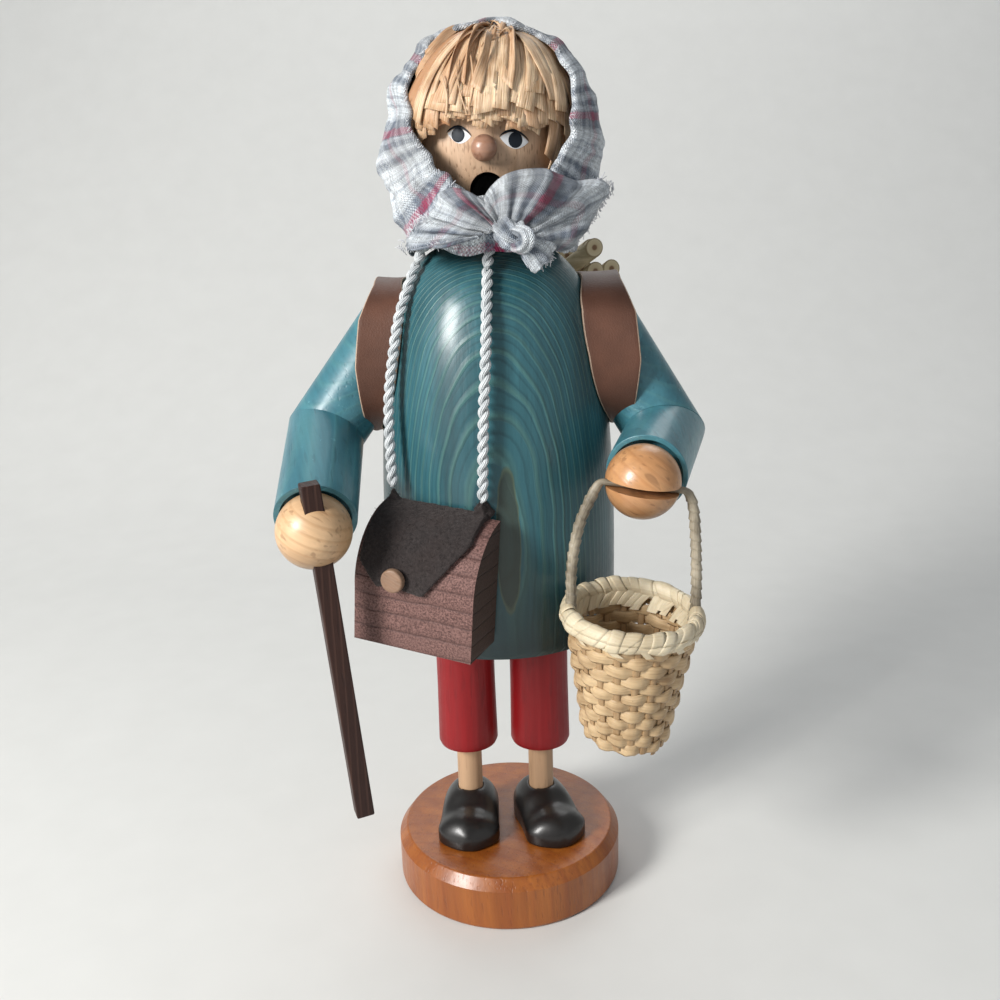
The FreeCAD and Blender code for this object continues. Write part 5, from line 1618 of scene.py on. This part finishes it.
def paintSpot(name, outline, material, lift):
    # a spot of paint in rings round its middle; only its edge comes down toward the wood
    middleX, middleY = (sum(place[k] for place in outline) / len(outline) for k in (0, 1))
    bm = bmesh.new()
    radius = (headValues["radius"] + lift) * mm
    hub = bm.verts.new(onHead(middleX, middleY, radius))
    rings = []
    for share in (0.25, 0.5, 0.75, 0.95, 1.0):
        low = radius - (eyeLifts["edge"] if share == 1.0 else 0.0)
        rings.append([bm.verts.new(onHead(mixed(middleX, x, share), mixed(middleY, y, share), low))
                      for x, y in outline])
    count = len(outline)
    for k in range(count):
        bm.faces.new((hub, rings[0][k], rings[0][(k + 1) % count]))
        for inner, outer in zip(rings, rings[1:]):
            bm.faces.new((inner[k], outer[k], outer[(k + 1) % count], inner[(k + 1) % count]))
    finishPaint(name, bm, material)


def ellipse(x, y, wide, high, count=40):
    return [(x + wide * cos(tau * k / count), y + high * sin(tau * k / count)) for k in range(count)]


def almond(left, right, top, bottom, count=20):
    # two arches between the corners of the eye
    outline = []
    for start, end, rise in ((left, right, -top), (right, left, bottom)):
        for k in range(count):
            arch = rise * sin(pi * k / count) ** 0.85
            outline.append((mixed(start[0], end[0], k / count), mixed(start[1], end[1], k / count) + arch))
    return outline


def paintLash(name, left, right, top, thick, count=22):
    bm = bmesh.new()
    radius = (headValues["radius"] + eyeLifts["lash"]) * mm
    rows = []
    for k in range(count + 1):
        share = k / count
        x, y = mixed(left[0], right[0], share), mixed(left[1], right[1], share)
        arch = top * sin(pi * share) ** 0.8
        upper = y - arch - thick * sin(pi * share) ** 0.6
        lower = y - arch + 0.3
        rows.append([bm.verts.new(onHead(x, upper, radius)),
                     bm.verts.new(onHead(x, (upper + lower) / 2, radius + eyeLifts["crest"])),
                     bm.verts.new(onHead(x, lower, radius))])
    for first, second in zip(rows, rows[1:]):
        for k in range(2):
            bm.faces.new((first[k], first[k + 1], second[k + 1], second[k]))
    finishPaint(name, bm, materials["eyeDark"])


for sideName, eye in eyeValues.items():
    paintSpot("eyeWhite" + sideName, almond(*eye["white"]), materials["eyeWhite"], eyeLifts["white"])
for sideName, eye in eyeValues.items():
    paintSpot("iris" + sideName, ellipse(*eye["iris"]), materials["eyeDark"], eyeLifts["iris"])
for sideName, eye in eyeValues.items():
    paintLash("lash" + sideName, *eye["lash"])
print("stage: eyes")


def twigBark():
    # bark along the stick, and the pith and growth rings on its cut ends
    material, tree = newMaterial("cutTwig")
    fibre = cloudy(tree, placed(tree, turn=(0, radians(36), 0), scale=(0.08, 1.0, 1.0)), 900.0, 3.0)
    broad = cloudy(tree, placed(tree), 130.0, 3.0)
    share = calc(tree, "MULTIPLY_ADD", fibre, 0.5, times(tree, broad, 0.5))
    base = mixColour(tree, spread(tree, share, 0.36, 0.64), (0.25, 0.20, 0.10), (0.55, 0.46, 0.285))
    cut, radial = (node(tree, "Attribute", attribute_name=name).outputs["Fac"] for name in ("cut", "radial"))
    face = ramp(tree, radial, [(0.0, (0.16, 0.085, 0.035)), (0.22, (0.20, 0.11, 0.05)), (0.36, (0.52, 0.42, 0.25)),
                               (0.80, (0.58, 0.49, 0.31)), (0.92, (0.24, 0.18, 0.09))])
    return dress(material, mixColour(tree, cut, base, face), 0.62, fibre, 0.1 * mm)


materials["twig"] = twigBark()
bundleValues = {"foot": vec(-20.5, 39.6, 121.0), "head": vec(25.2, 39.6, 154.3), "radius": 2.42 * mm,
                "spacing": 4.98 * mm, "wander": 0.12, "slant": 1.05, "sides": 20,
                "stretch": (-0.06, 0.05, -0.02, 0.07, 0.0, 0.06, -0.04),
                "cut": ((0.985, 0.0), (0.93, 0.10), (0.78, 0.14), (0.5, 0.14), (0.25, 0.12), (0.1, 0.08))}


def stickBundle():
    # six sticks round a middle one; their upper ends are cut at a slant
    values = bundleValues
    foot, head, wander, sides = values["foot"], values["head"], values["wander"], values["sides"]
    along = (head - foot).normalized()
    away = Vector((0, 1, 0))
    rise = along.cross(away).normalized()
    away = rise.cross(along).normalized()
    bm = bmesh.new()
    radial, cut = bm.verts.layers.float.new("radial"), bm.verts.layers.float.new("cut")
    random.seed(17)
    for number, share in enumerate(values["stretch"]):
        offset = spoke(rise, away, tau * number / 6) * values["spacing"] if number < 6 else Vector((0, 0, 0))
        start, end = foot + offset, head + offset + (head - foot) * share
        route = [start.lerp(end, k / 6) + (away * uniform(-wander, wander)
                                           + rise * uniform(-wander, wander)) * mm for k in range(7)]
        line, length = splineLine(route, 0.8 * mm)
        frames = lineFrames(line)
        knots = [uniform(0.1, 0.9) for _ in range(3)]

        def barkPlace(u, v):
            row = round(v * (len(frames) - 1))
            point, a, b = frames[row]
            slant = max(0.0, (row - len(frames) + 7) / 6) * values["slant"]
            swell = sum(exp(-((v - knot) * 40) ** 2) for knot in knots) * 0.06
            girth = values["radius"] * (0.985 + swell + 0.02 * wobble(point, 2 * mm, number))
            ring = spoke(a, b, tau * u) * girth
            return point + ring + along * ring.dot(away) * slant

        addGrid(bm, sides, len(frames) - 1, barkPlace, (0.015, length))
        for place, before, slant in ((0, 1, 0.0), (-1, -2, values["slant"])):
            point, a, b = frames[place]
            facing = (point - frames[before][0]).normalized()
            rings = []
            for reach, push in values["cut"]:
                ring = []
                for k in range(sides):
                    out = spoke(a, b, tau * k / sides) * values["radius"] * reach
                    vert = bm.verts.new(point + out + along * out.dot(away) * slant + facing * push * mm)
                    vert[radial], vert[cut] = reach, 1.0
                    ring.append(vert)
                rings.append(ring)
            for outer, inner in zip(rings, rings[1:]):
                for k in range(sides):
                    bm.faces.new((outer[k], outer[(k + 1) % sides], inner[(k + 1) % sides], inner[k]))
            bm.faces.new(rings[-1])
    finishPiece("stickBundle", bm, materials["twig"], "figure", ["stick_bundle"], outward=True)


stickBundle()
polished("bundle_ties", "bundleTies", materials["raffia"], "figure")
print("stage: sticks on the back")
